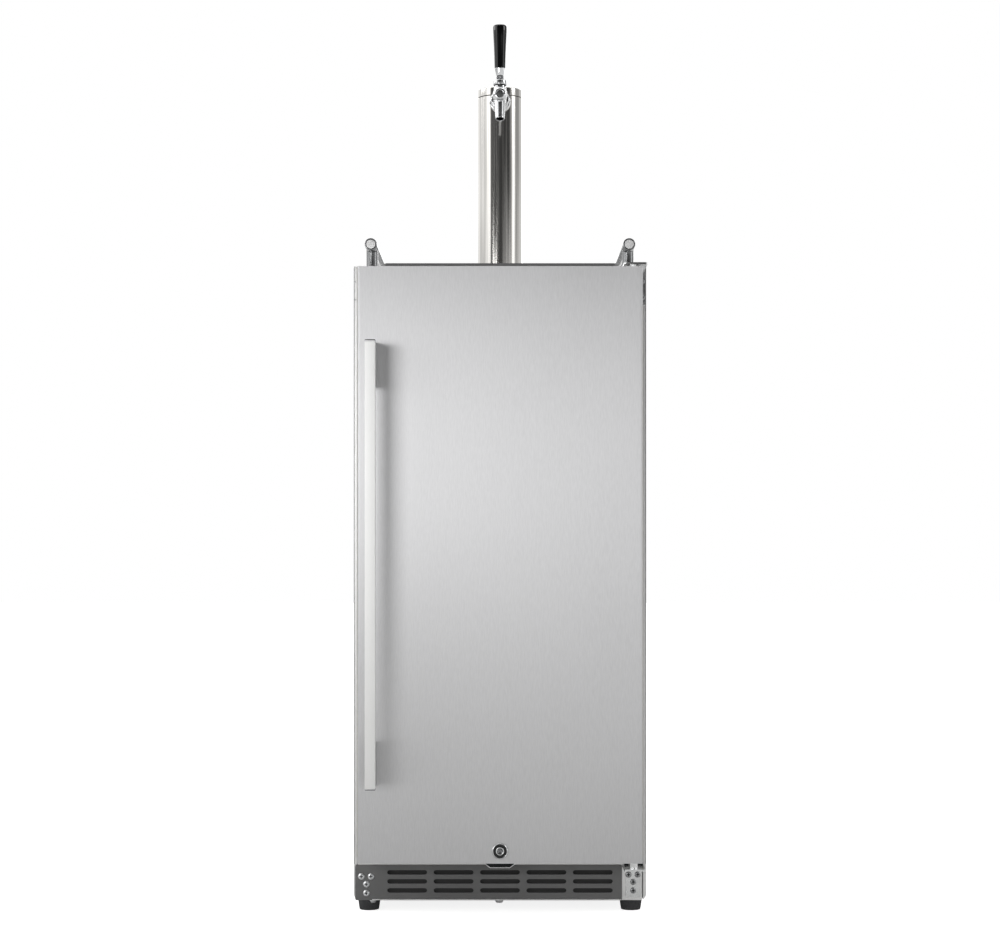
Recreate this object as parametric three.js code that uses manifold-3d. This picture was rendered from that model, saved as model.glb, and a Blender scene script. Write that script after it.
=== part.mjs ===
import * as THREE from 'three';
import { mergeVertices } from 'three/addons/utils/BufferGeometryUtils.js';
import Module from 'manifold-3d';

// Kegerator with one tap: millimetres, +Z up, door towards -Y, hinges towards +X.
// The origin is on the floor under the middle of the whole object.
// Inside the cabinet and the door, y counts backwards from the face of the door.

// Fits and cuts
const fitGap = 0.3;
const overrun = 6;
const weldDistance = 0.001;

// Cabinet shell
const cabinetWidth = 378;
const cabinetDepth = 545;
const sheet = 1.2;
const panelFlange = 4;
const panelCornerRadius = 8;
const wall = 40;
const footHeight = 14;
const kickHeight = 54;
const kickDoorGap = 2;
const doorTopGap = 7;

// Door
const doorHeight = 757;
const doorThickness = 48;
const doorInset = 8;
const doorEdgeRadius = 3;
const doorLinerSheet = 2;
const dikeHeight = 7;
const gasketDepth = 12;
const gasketWidth = 14;
const gasketInset = 13;

// Hinges
const hingeInset = 11;
const hingeSetback = 22;
const pinRadius = 4;
const pinDepth = 14;
const bushRadius = 7;
const bushDepth = 16;
const hingeSheet = 2.5;
const upperHingeGap = 3.7;
const lowerHingeGap = 9;
const hingeArmWidth = 27;
const hingeArmFront = 12;
const upperLegLength = 47;
const lowerLegLength = 42;
const lowerLegWidth = 19.5;
const washerRadius = 5.8;

// Door handle
const handleReach = 50;
const handleWidth = 13;
const handleDepth = 14;
const handleStart = 98;
const handleTopGap = 97;
const handleInset = 19;
const handlePostHeight = 57;
const handlePostWidth = 11;
const handleEdgeRadius = 2;

// Door lock and its strike
const lockHeight = 16;
const lockBezelRadius = 10.5;
const lockBezelReach = 2.5;
const lockBarrelRadius = 9;
const lockBarrelLength = 27;
const lockPlugRadius = 5.4;
const lockPlugReach = 1.2;
const keywayWidth = 1.6;
const keywayHeight = 6;
const keywayDepth = 8;
const camLength = 23;
const camWidth = 10;
const camThickness = 2;
const camClearance = 1.4;
const strikeTopWidth = 40;
const strikeBottomWidth = 26;
const strikeHeight = 6.5;
const strikeDoorGap = 3;
const strikeSheet = 1.5;
const strikeFront = 26;

// Kick plate
const slotColumns = 5;
const slotRows = 3;
const slotGap = 8.3;
const slotHeight = 5.8;
const slotEndGap = 11.85;
const slotPitchZ = 11.7;
const slotCentreHeight = 24.4;
const kickCornerRadius = 2;
const kickSideInset = 1.8;
const kickLap = 4;

// Base, feet and machine space
const panFlange = 12;
const bossRadius = 9;
const bossHeight = 22;
const footRadius = 14.4;
const footBaseRadius = 12.9;
const footBaseEdge = 1.8;
const footInsetX = 19;
const footInsetY = 18;
const studRadius = 4;
const studLength = 20;
const humpDepth = 195;
const humpHeight = 190;
const linerSheet = 1.5;
const linerCornerRadius = 14;
const rearCoverInset = 5;
const louvreRows = 9;
const louvrePitch = 16;
const louvreLength = 120;
const louvreHeight = 5;
const louvreHood = 4;

// Compressor
const compressorRadius = 62;
const compressorHeight = 130;
const compressorSideGap = 89;
const compressorBackGap = 98;
const compressorBaseWidth = 130;
const compressorBaseDepth = 100;
const compressorBaseSheet = 3;
const grommetRadius = 10;
const grommetHeight = 12;
const pipeRadius = 4;
const pipeLength = 22;
const drainPanHeight = 24;
const drainPanWidth = 130;
const drainPanDepth = 120;
const drainPanWall = 2;

// Condenser
const condenserSideGap = 45;
const condenserPasses = 9;
const condenserPitch = 20;
const condenserEndGap = 25;
const condenserTube = 3.5;
const condenserEndWidth = 24;
const condenserFloorGap = 14;
const shroudGap = 68;
const shroudSheet = 2;
const shroudEdgeGap = 17;
const condenserHubRadius = 17;
const fanBlades = 5;
const fanDepth = 16;
const fanTipGap = 4;
const fanShaftRadius = 3;
const fanArmWidth = 8;
const fanBladeSheet = 1.6;
const fanBladePitchDegrees = 32;

// Power inlet
const inletSideGap = 69;
const inletHeight = 60;
const inletWidth = 28;
const inletTall = 22;
const inletDepth = 22;
const inletSocketWidth = 22;
const inletSocketTall = 15;
const inletSocketDepth = 15;
const inletFlange = 5;
const inletFlangeSheet = 2;
const inletPinWidth = 2;
const inletPinTall = 4;
const inletPinLength = 10;
const inletPinPitch = 6.5;

// Evaporator behind its cover on the back wall
const evaporatorSideGap = 24;
const evaporatorCoverHeight = 230;
const evaporatorCoverDepth = 42;
const evaporatorCoverWall = 2.5;
const evaporatorCeilingGap = 30;
const evaporatorFanRadius = 42;
const evaporatorHubRadius = 13;
const evaporatorFins = 18;
const evaporatorFinSheet = 2;
const evaporatorHeight = 90;
const evaporatorCoilGap = 22.5;
const evaporatorDepth = 26;
const evaporatorCore = 6;
const grilleSlots = 9;
const grilleSlotWidth = 8;
const grilleSlotPitch = 20;
const grilleSlotHeight = 60;
const grilleFloorGap = 22;

// Thermostat under the ceiling
const thermostatWidth = 96;
const thermostatDepth = 70;
const thermostatHeight = 34;
const thermostatFront = 40;
const knobRadius = 14;
const knobDepth = 12;
const knobShaftRadius = 3;
const knobShaftLength = 10;
const knobFlutes = 10;
const knobFluteRadius = 2;

// Top plate and guard rail
const topPlateSideGap = 39;
const topPlateSheet = 3.7;
const topPlateBackGap = 20;
const railRadius = 8;
const railHeight = 34;
const railInset = 19.5;
const railFront = 40;
const railBackGap = 22;
const railEndLip = 1.5;
const railPostRadius = 7.7;
const railPostFront = 35;
const railPostBack = 40;
const railFlangeRadius = 11;
const railFlangeHeight = 3;

// Tap tower
const towerBack = 290;
const towerRadius = 31.75;
const towerWall = 1.5;
const towerHeight = 268.5;
const towerCapHeight = 12.5;
const towerCapEdge = 2;
const towerSkirt = 14;
const towerFlangeRadius = 46;
const towerFlangeHeight = 5;
const towerSpigotHeight = 16;
const towerBoreRadius = 22;

// Faucet, measured from the tower's axis and from the shank's axis
const shankDrop = 10;
const shankRadius = 7.7;
const shankBoreRadius = 4;
const shankFlangeRadius = 15;
const shankFlangeReach = 6;
const shankNeckRadius = 10;
const shankReach = 18;
const shankTail = 16;
const couplingRadius = 13.75;
const couplingLength = 12;
const couplingFlats = 8;
const couplingNotch = 2.4;
const bodyRadius = 10;
const bodyLength = 44;
const bodyBoreRadius = 6.6;
const noseRadius = 8.5;
const noseDishRadius = 4.5;
const noseDishDepth = 1.5;
const bonnetPlace = 30;
const bonnetRadius = 9.5;
const bonnetHeight = 9.3;
const bonnetBottom = 11.3;
const bonnetBoreRadius = 5.4;
const collarRadius = 8.6;
const leverSlotReach = 7.6;
const spoutPlace = 31;
const spoutLeanDegrees = 21;
const spoutTopRadius = 7.6;
const spoutTipRadius = 6.45;
const spoutBoreRadius = 4.9;
const spoutLength = 31.4;
const spoutTop = 6;

// Tap lever, its ferrule, handle and valve
const leverPivot = 15.6;
const leverBallRadius = 4.4;
const leverStemRadius = 2.6;
const leverFootRadius = 2.2;
const leverFootLength = 17.6;
const leverTop = 29;
const ferruleBottomRadius = 5.3;
const ferruleTopRadius = 7.4;
const ferruleHeight = 10.3;
const ferruleStart = 27;
const handleBottomRadius = 7.6;
const handleTopRadius = 9.7;
const handleTall = 60;
const valveRodRadius = 2.6;
const valveSeatRadius = 5.4;
const valveSeatLength = 4;
const valveRodLength = 15;

// Beer line inside the tower
const lineRadius = 4;
const lineBend = 14;
const lineNutRadius = 9;
const lineNutHeight = 12;
const nutSides = 6;
const lineBelowCeiling = 26;

// Drip tray
const trayWidth = 150;
const trayDepth = 126;
const trayHeight = 9;
const trayWall = 2;
const trayFront = 104;
const trayCornerRadius = 12;
const trayLedge = 3;
const grateSheet = 2;
const grateSlots = 9;
const grateSlotWidth = 6;
const grateSlotPitch = 12;
const grateMargin = 15;

// Numbers of flat sides on round pieces
const roundSides = 32;
const smallSides = 16;
const pipeSides = 8;
const coilSides = 6;
const arcSteps = 3;
const slotSteps = 2;

// Places worked out from the sizes above
const cabinetFront = doorThickness + gasketDepth;
const cabinetBack = cabinetFront + cabinetDepth;
const cabinetHalf = cabinetWidth / 2;
const innerShellHalf = cabinetHalf - sheet - fitGap;
const kickTop = footHeight + kickHeight;
const doorBottom = kickTop + kickDoorGap;
const strikeBottom = doorBottom - strikeDoorGap - strikeHeight;
const kickPlateTop = strikeBottom - fitGap;
const doorTop = doorBottom + doorHeight;
const cabinetTop = doorTop + doorTopGap;
const doorHalf = cabinetHalf - doorInset;
const linerHalf = cabinetHalf - wall;
const linerFloor = doorBottom + wall;
const linerCeiling = cabinetTop - wall;
const linerBack = cabinetBack - wall;
const humpFront = linerBack - humpDepth;
const humpTop = linerFloor + humpHeight;
const machineFront = humpFront + wall;
const machineTop = humpTop - wall;
const panTop = footHeight + fitGap + sheet;
const hingeX = doorHalf - hingeInset;
const plateTop = cabinetTop + fitGap + topPlateSheet;
const towerY = cabinetFront + towerBack;
const shankHeight = towerHeight - shankDrop;
const faceY = (handleReach - cabinetBack) / 2;
const rearCoverFace = cabinetBack - rearCoverInset;
const machineMiddle = (machineFront + rearCoverFace) / 2;
const machineHalf = (rearCoverFace - machineFront) / 2;
const compressorX = compressorSideGap - cabinetHalf;
const compressorY = cabinetBack - compressorBackGap;
const condenserX = cabinetHalf - condenserSideGap;
const shroudX = condenserX - shroudGap;
const inletX = inletSideGap - cabinetHalf;
const frontHalf = cabinetHalf - panelFlange - sheet;

const wasm = await Module();
wasm.setup();

const paint = (color, roughness, metalness) =>
  new THREE.MeshStandardMaterial({ color, roughness, metalness });
const brushedSteel = paint('#c9cacb', 0.32, 1);
const polishedSteel = paint('#d8d9da', 0.12, 1);
const zincSteel = paint('#b4b6b8', 0.4, 1);
const darkPaint = paint('#56585a', 0.5, 0.2);
const blackPaint = paint('#1d1e20', 0.45, 0.1);
const blackPlastic = paint('#121314', 0.3, 0);
const whitePlastic = paint('#e6e7e6', 0.45, 0);
const greyRubber = paint('#8d8f90', 0.8, 0);
const blackRubber = paint('#222324', 0.85, 0);
const yellowFoam = paint('#e2d9b0', 0.95, 0);
const copper = paint('#b4703f', 0.35, 1);
const clearHose = paint('#d9dde0', 0.3, 0);

// A closed geometry becomes a solid once its shared corners are merged.
function solidOf(geometry) {
  geometry.deleteAttribute('normal');
  geometry.deleteAttribute('uv');
  const merged = mergeVertices(geometry, weldDistance);
  const corners = merged.index.array;
  const triangles = [];
  for (let first = 0; first < corners.length; first += 3) {
    const [a, b, c] = corners.slice(first, first + 3);
    if (a !== b && b !== c && a !== c) triangles.push(a, b, c);
  }
  return new wasm.Manifold(new wasm.Mesh({
    numProp: 3,
    vertProperties: new Float32Array(merged.attributes.position.array),
    triVerts: new Uint32Array(triangles),
  }));
}

function geometryOf(solid) {
  const mesh = solid.getMesh();
  const geometry = new THREE.BufferGeometry();
  geometry.setAttribute('position', new THREE.BufferAttribute(mesh.vertProperties, mesh.numProp));
  geometry.setIndex(new THREE.BufferAttribute(mesh.triVerts, 1));
  return geometry;
}

function meshOf(name, solid, material) {
  const mesh = new THREE.Mesh(geometryOf(solid), material);
  mesh.name = name;
  return mesh;
}

const join = (first, ...others) => others.reduce((whole, other) => whole.add(other), first);
const cut = (first, ...others) => others.reduce((whole, other) => whole.subtract(other), first);

function block([x0, x1], [y0, y1], [z0, z1]) {
  const geometry = new THREE.BoxGeometry(x1 - x0, y1 - y0, z1 - z0);
  geometry.translate((x0 + x1) / 2, (y0 + y1) / 2, (z0 + z1) / 2);
  return solidOf(geometry);
}

const axisX = new THREE.Vector3(1, 0, 0);
const axisY = new THREE.Vector3(0, 1, 0);
const axisZ = new THREE.Vector3(0, 0, 1);

// An outline in (x, y) is drawn out along Z.
function prismZ(shape, [z0, z1], steps = arcSteps) {
  const settings = { depth: z1 - z0, bevelEnabled: false, curveSegments: steps };
  const geometry = new THREE.ExtrudeGeometry(shape, settings);
  geometry.translate(0, 0, z0);
  return solidOf(geometry);
}

// An outline in (x, z) is drawn out along Y.
function prismY(shape, [y0, y1], steps = arcSteps) {
  const settings = { depth: y1 - y0, bevelEnabled: false, curveSegments: steps };
  const geometry = new THREE.ExtrudeGeometry(shape, settings);
  const turn = new THREE.Matrix4().makeBasis(axisX, axisZ, axisY.clone().negate());
  geometry.applyMatrix4(turn.setPosition(0, y1, 0));
  return solidOf(geometry);
}

// An outline in (y, z) is drawn out along X.
function prismX(shape, [x0, x1], steps = arcSteps) {
  const settings = { depth: x1 - x0, bevelEnabled: false, curveSegments: steps };
  const geometry = new THREE.ExtrudeGeometry(shape, settings);
  const turn = new THREE.Matrix4().makeBasis(axisY, axisZ, axisX);
  geometry.applyMatrix4(turn.setPosition(x0, 0, 0));
  return solidOf(geometry);
}

// A profile of [radius, height] pairs turns about an axis through a place.
function revolve(profile, axis, place, sides) {
  const points = profile.map(([radius, height]) => new THREE.Vector2(radius, height));
  const geometry = new THREE.LatheGeometry(points, sides);
  geometry.applyQuaternion(new THREE.Quaternion().setFromUnitVectors(axisY, axis));
  geometry.translate(...place);
  return solidOf(geometry);
}

function rod(radius, [start, end], axis, place, sides) {
  return revolve([[0, start], [radius, start], [radius, end], [0, end]], axis, place, sides);
}

function roundedRectangle([u0, u1], [v0, v1], radius) {
  const shape = new THREE.Shape();
  shape.moveTo(u0 + radius, v0);
  shape.absarc(u1 - radius, v0 + radius, radius, -Math.PI / 2, 0);
  shape.absarc(u1 - radius, v1 - radius, radius, 0, Math.PI / 2);
  shape.absarc(u0 + radius, v1 - radius, radius, Math.PI / 2, Math.PI);
  shape.absarc(u0 + radius, v0 + radius, radius, Math.PI, Math.PI * 1.5);
  return shape;
}

// A slot with round ends, long in u or in v
function slotOutline([u0, u1], [v0, v1]) {
  const shape = new THREE.Shape();
  const radius = Math.min(u1 - u0, v1 - v0) / 2;
  if (u1 - u0 > v1 - v0) {
    shape.absarc(u1 - radius, v0 + radius, radius, -Math.PI / 2, Math.PI / 2);
    shape.absarc(u0 + radius, v0 + radius, radius, Math.PI / 2, Math.PI * 1.5);
  } else {
    shape.absarc(u0 + radius, v1 - radius, radius, 0, Math.PI);
    shape.absarc(u0 + radius, v0 + radius, radius, Math.PI, Math.PI * 2);
  }
  return shape;
}

function polygon(points) {
  return new THREE.Shape(points.map(([u, v]) => new THREE.Vector2(u, v)));
}

// Each corner of the outline is rounded with the same radius.
function roundedPolygon(points, radius) {
  const shape = new THREE.Shape();
  points.forEach(([u, v], index) => {
    const corner = new THREE.Vector2(u, v);
    const before = new THREE.Vector2(...points.at(index - 1)).sub(corner).setLength(radius).add(corner);
    const next = new THREE.Vector2(...points[(index + 1) % points.length]);
    const after = next.sub(corner).setLength(radius).add(corner);
    if (index === 0) shape.moveTo(before.x, before.y);
    else shape.lineTo(before.x, before.y);
    shape.quadraticCurveTo(corner.x, corner.y, after.x, after.y);
  });
  return shape;
}

// A path that keeps the stations it is given, so straight runs take few of them.
class StationPath extends THREE.Curve {
  constructor(stations) {
    super();
    this.stations = stations;
  }

  getPoint(share) {
    const place = share * (this.stations.length - 1);
    const index = Math.min(Math.floor(place), this.stations.length - 2);
    return this.stations[index].clone().lerp(this.stations[index + 1], place - index);
  }

  getPointAt(share) {
    return this.getPoint(share);
  }

  getTangentAt(share) {
    const index = Math.round(share * (this.stations.length - 1));
    const before = this.stations[Math.max(index - 1, 0)];
    const after = this.stations[Math.min(index + 1, this.stations.length - 1)];
    return after.clone().sub(before).normalize();
  }
}

function tube(stations, radius, sides) {
  const section = new THREE.Shape();
  section.absarc(0, 0, radius, 0, Math.PI * 2);
  const geometry = new THREE.ExtrudeGeometry(section, {
    extrudePath: new StationPath(stations),
    steps: stations.length - 1,
    curveSegments: sides / 2,
    bevelEnabled: false,
  });
  return solidOf(geometry);
}

function ring(outerX, outerZ, innerX, innerZ, [y0, y1]) {
  const outer = block(outerX, [y0, y1], outerZ);
  return cut(outer, block(innerX, [y0 - overrun, y1 + overrun], innerZ));
}

// Hub with a shaft and pitched blades, turning about +Y, its hub from y 0 to depth
function fanSolid(radius, hubRadius, depth, bladeCount, shaftLength) {
  const hub = revolve(
    [[0, 0], [hubRadius, 0], [hubRadius, depth], [fanShaftRadius, depth],
      [fanShaftRadius, depth + shaftLength], [0, depth + shaftLength]],
    axisY, [0, 0, 0], smallSides);
  const bladeHalf = hubRadius * bladeRootShare;
  const tipHalf = radius * bladeTipShare;
  const outline = polygon([
    [hubRadius * bladeSinkShare, -bladeHalf], [radius, -tipHalf],
    [radius + radius * bladeBulgeShare, 0], [radius, tipHalf],
    [hubRadius * bladeSinkShare, bladeHalf],
  ]);
  const blades = [];
  for (let index = 0; index < bladeCount; index += 1) {
    const blade = new THREE.ExtrudeGeometry(outline, { depth: fanBladeSheet, bevelEnabled: false });
    blade.translate(0, 0, -fanBladeSheet / 2);
    blade.rotateX(Math.PI / 2 + THREE.MathUtils.degToRad(fanBladePitchDegrees));
    blade.rotateY((index / bladeCount) * Math.PI * 2);
    blade.translate(0, depth / 2, 0);
    blades.push(solidOf(blade));
  }
  return join(hub, ...blades);
}
const bladeRootShare = 0.32;
const bladeTipShare = 0.17;
const bladeSinkShare = 0.7;
const bladeBulgeShare = 0.03;

// Three arms and a bored boss across a fan's round hole, all turning about +Y
function fanArms(holeRadius, bossOuter, [y0, y1]) {
  const armReach = holeRadius + fanArmWidth / 2;
  const boss = rod(bossOuter, [y0, y1], axisY, [0, 0, 0], smallSides);
  const arms = [];
  for (let index = 0; index < 3; index += 1) {
    const arm = new THREE.BoxGeometry(armReach, y1 - y0, fanArmWidth);
    arm.translate(armReach / 2, (y0 + y1) / 2, 0);
    arm.rotateY((index / 3) * Math.PI * 2 + Math.PI / 6);
    arms.push(solidOf(arm));
  }
  const bore = rod(fanShaftRadius + fitGap, [y0 - overrun, y1 + overrun], axisY, [0, 0, 0], smallSides);
  return { arms: join(boss, ...arms), bore };
}

// Side, top, back and base sheets
function cabinetShell() {
  const shellBottom = footHeight + fitGap;
  const panelTop = cabinetTop - sheet - fitGap;
  const left = sidePanel(shellBottom, panelTop);
  const towerHole = rod(towerBoreRadius, [linerCeiling - overrun, plateTop + overrun], axisZ, [0, towerY, 0],
    roundSides);
  const top = cut(
    block([-cabinetHalf, cabinetHalf], [cabinetFront, cabinetBack],
      [cabinetTop - sheet, cabinetTop]), towerHole);
  const plateHalf = cabinetHalf - topPlateSideGap;
  const plate = cut(
    prismZ(roundedRectangle([-plateHalf, plateHalf],
      [cabinetFront, cabinetBack - topPlateBackGap], topPlateSheet), [cabinetTop + fitGap, plateTop]),
        towerHole);
  const back = block([-innerShellHalf, innerShellHalf], [cabinetBack - sheet, cabinetBack],
    [machineTop, panelTop]);
  return [
    meshOf('left_side_panel', left, brushedSteel),
    meshOf('right_side_panel', left.mirror([1, 0, 0]), brushedSteel),
    meshOf('top_panel', top, brushedSteel),
    meshOf('top_plate', plate, darkPaint),
    meshOf('back_panel', back, zincSteel),
    meshOf('base_pan', basePan(shellBottom), zincSteel),
  ];
}

// The sheet rolls inwards along its foot, and turns inwards at the front as a narrow flange.
function sidePanel(bottom, top) {
  const outer = -cabinetHalf;
  const centre = [outer + panelCornerRadius, bottom + panelCornerRadius];
  const end = Math.PI + Math.acos((panelCornerRadius - panelFlange) / panelCornerRadius);
  const flange = new THREE.Shape();
  flange.moveTo(outer + panelFlange, top);
  flange.lineTo(outer, top);
  flange.absarc(...centre, panelCornerRadius, Math.PI, end);
  const rolled = new THREE.Shape();
  rolled.moveTo(outer + sheet, top);
  rolled.lineTo(outer, top);
  rolled.absarc(...centre, panelCornerRadius, Math.PI, end);
  rolled.absarc(...centre, panelCornerRadius - sheet, end, Math.PI, true);
  return join(
    prismY(flange, [cabinetFront, cabinetFront + sheet]),
    prismY(rolled, [cabinetFront, cabinetBack]),
  );
}

function footPlaces() {
  const x = cabinetHalf - footInsetX;
  const front = cabinetFront + footInsetY;
  const back = cabinetBack - footInsetY;
  return { front_left: [-x, front], front_right: [x, front], rear_left: [-x, back], rear_right: [x, back] };
}

// A tray of sheet with a threaded boss over each foot
function basePan(bottom) {
  const y = [cabinetFront + sheet + fitGap, cabinetBack - rearCoverInset - sheet - fitGap];
  const x = [-frontHalf, frontHalf];
  const tray = cut(
    block(x, y, [bottom, bottom + panFlange]),
    block([x[0] + sheet, x[1] - sheet], [y[0] - overrun, y[1] + overrun], [panTop, panTop + panFlange]));
  const bosses = Object.values(footPlaces()).map(([footX, footY]) =>
    rod(bossRadius, [bottom, bottom + bossHeight], axisZ, [footX, footY, 0], smallSides));
  const bores = Object.values(footPlaces()).map(([footX, footY]) =>
    rod(studRadius + fitGap, [bottom - overrun, bottom + bossHeight + overrun], axisZ, [footX, footY, 0],
      smallSides));
  return cut(join(tray, ...bosses), ...bores);
}

function feet() {
  return Object.entries(footPlaces()).map(([corner, [x, y]]) => {
    const profile = [[0, 0], [footBaseRadius - footBaseEdge, 0], [footBaseRadius, footBaseEdge],
      [footRadius, footHeight], [studRadius, footHeight], [studRadius, footHeight + studLength],
      [0, footHeight + studLength]];
    return meshOf(`foot_${corner}`, revolve(profile, axisZ, [x, y, 0], smallSides), blackRubber);
  });
}

// The liner's side outline has a step over the machine space; a larger grow gives a larger outline.
function cavityOutline(grow, front) {
  return roundedPolygon([
    [front, linerFloor - grow], [humpFront + grow, linerFloor - grow], [humpFront + grow, humpTop - grow],
    [linerBack + grow, humpTop - grow], [linerBack + grow, linerCeiling + grow],
      [front, linerCeiling + grow],
  ], linerCornerRadius);
}

function insulation() {
  const half = innerShellHalf;
  const front = cabinetFront + sheet + fitGap;
  const outer = block([-half, half], [front, cabinetBack - sheet - fitGap],
    [doorBottom, cabinetTop - sheet - fitGap]);
  const machine = block([-cabinetWidth, cabinetWidth], [machineFront, cabinetBack + overrun],
    [0, machineTop]);
  const linerOuterHalf = linerHalf + linerSheet;
  const cavity = prismX(cavityOutline(linerSheet + fitGap, -cabinetFront),
    [-linerOuterHalf - fitGap, linerOuterHalf + fitGap]);
  const duct = rod(towerBoreRadius, [linerCeiling - overrun, cabinetTop + overrun], axisZ, [0, towerY, 0],
    smallSides);
  const shell = prismX(cavityOutline(linerSheet, -cabinetFront), [-linerOuterHalf, linerOuterHalf]);
  const room = prismX(cavityOutline(0, -cabinetFront), [-linerHalf, linerHalf]);
  const ahead = block([-cabinetWidth, cabinetWidth], [-cabinetDepth, front], [0, cabinetTop]);
  return [
    meshOf('foam_insulation', cut(outer, machine, cavity, duct), yellowFoam),
    meshOf('inner_liner', cut(shell, room, ahead, duct), whitePlastic),
  ];
}

// A frame round the keg room's mouth, with a leg at the right that carries the lower hinge
function frontFrame() {
  const y = [cabinetFront, cabinetFront + sheet];
  const bottom = footHeight + fitGap;
  const foot = kickPlateTop - kickLap;
  const frame = ring([-frontHalf, frontHalf], [foot, cabinetTop - sheet - fitGap],
    [-linerHalf, linerHalf], [linerFloor, linerCeiling], y);
  const leg = block([linerHalf, frontHalf], y, [bottom, kickPlateTop]);
  return meshOf('front_frame', join(frame, leg), brushedSteel);
}

// A slotted sheet in front of the frame, from the left side panel to the lower hinge
function kickPlate() {
  const bottom = footHeight + fitGap;
  const face = cabinetFront - fitGap - sheet;
  const x = [kickSideInset - cabinetHalf, hingeX - hingeArmFront - fitGap];
  const plate = prismY(roundedRectangle(x, [bottom, kickPlateTop], kickCornerRadius), [face, face + sheet]);
  const fieldHalf = x[1] - slotEndGap;
  const slotLength = (fieldHalf * 2 + slotGap) / slotColumns - slotGap;
  const slots = [];
  for (let column = 0; column < slotColumns; column += 1) {
    for (let row = 0; row < slotRows; row += 1) {
      const start = column * (slotLength + slotGap) - fieldHalf;
      const centreZ = bottom + slotCentreHeight + (row - (slotRows - 1) / 2) * slotPitchZ;
      const slot = slotOutline([start, start + slotLength],
        [centreZ - slotHeight / 2, centreZ + slotHeight / 2]);
      slots.push(prismY(slot, [face - overrun, face + overrun], slotSteps));
    }
  }
  return meshOf('kick_plate', cut(plate, ...slots), darkPaint);
}

// A sheet with hooded louvres at the right and a hole for the inlet
function rearCover() {
  const y = [rearCoverFace - sheet, rearCoverFace];
  const z = [panTop, machineTop - fitGap];
  const plate = block([-frontHalf, frontHalf], y, z);
  const holes = [];
  const hoods = [];
  for (let row = 0; row < louvreRows; row += 1) {
    const centre = (z[0] + z[1]) / 2 + (row - (louvreRows - 1) / 2) * louvrePitch;
    const x = [linerHalf - louvreLength, linerHalf];
    holes.push(block(x, [y[0] - overrun, y[1] + overrun], [centre - louvreHeight, centre]));
    const hood = polygon([[y[1] - sheet / 2, centre + louvreHeight / 2],
      [y[1] + louvreHood, centre - louvreHeight / 2],
      [y[1] + louvreHood, centre - louvreHeight / 2 + sheet], [y[1] - sheet / 2, centre + louvreHeight]]);
    hoods.push(prismX(hood, x));
  }
  const inletHole = block([inletX - inletWidth / 2 - fitGap, inletX + inletWidth / 2 + fitGap],
    [y[0] - overrun, y[1] + overrun],
    [inletHeight - inletTall / 2 - fitGap, inletHeight + inletTall / 2 + fitGap]);
  return meshOf('rear_vent_cover', cut(join(plate, ...hoods), ...holes, inletHole), zincSteel);
}

// Appliance inlet: a flanged block with a socket hollow and three flat pins
function powerInlet() {
  const face = rearCoverFace + fitGap;
  const body = block([inletX - inletWidth / 2, inletX + inletWidth / 2],
    [face - inletDepth, face + inletFlangeSheet],
    [inletHeight - inletTall / 2, inletHeight + inletTall / 2]);
  const flange = block([inletX - inletWidth / 2 - inletFlange, inletX + inletWidth / 2 + inletFlange],
    [face, face + inletFlangeSheet],
    [inletHeight - inletTall / 2 - inletFlange, inletHeight + inletTall / 2 + inletFlange]);
  const mouth = face + inletFlangeSheet;
  const hollow = block([inletX - inletSocketWidth / 2, inletX + inletSocketWidth / 2],
    [mouth - inletSocketDepth, mouth + overrun],
    [inletHeight - inletSocketTall / 2, inletHeight + inletSocketTall / 2]);
  const pins = [-1, 0, 1].map((place) => {
    const x = inletX + place * inletPinPitch;
    const z = inletHeight + (place === 0 ? inletPinTall / 2 : -inletPinTall / 2);
    return block([x - inletPinWidth / 2, x + inletPinWidth / 2],
      [mouth - inletSocketDepth - fitGap, mouth - inletSocketDepth + inletPinLength],
      [z - inletPinTall / 2, z + inletPinTall / 2]);
  });
  return meshOf('power_inlet', join(cut(join(body, flange), hollow), ...pins), blackPlastic);
}

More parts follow.
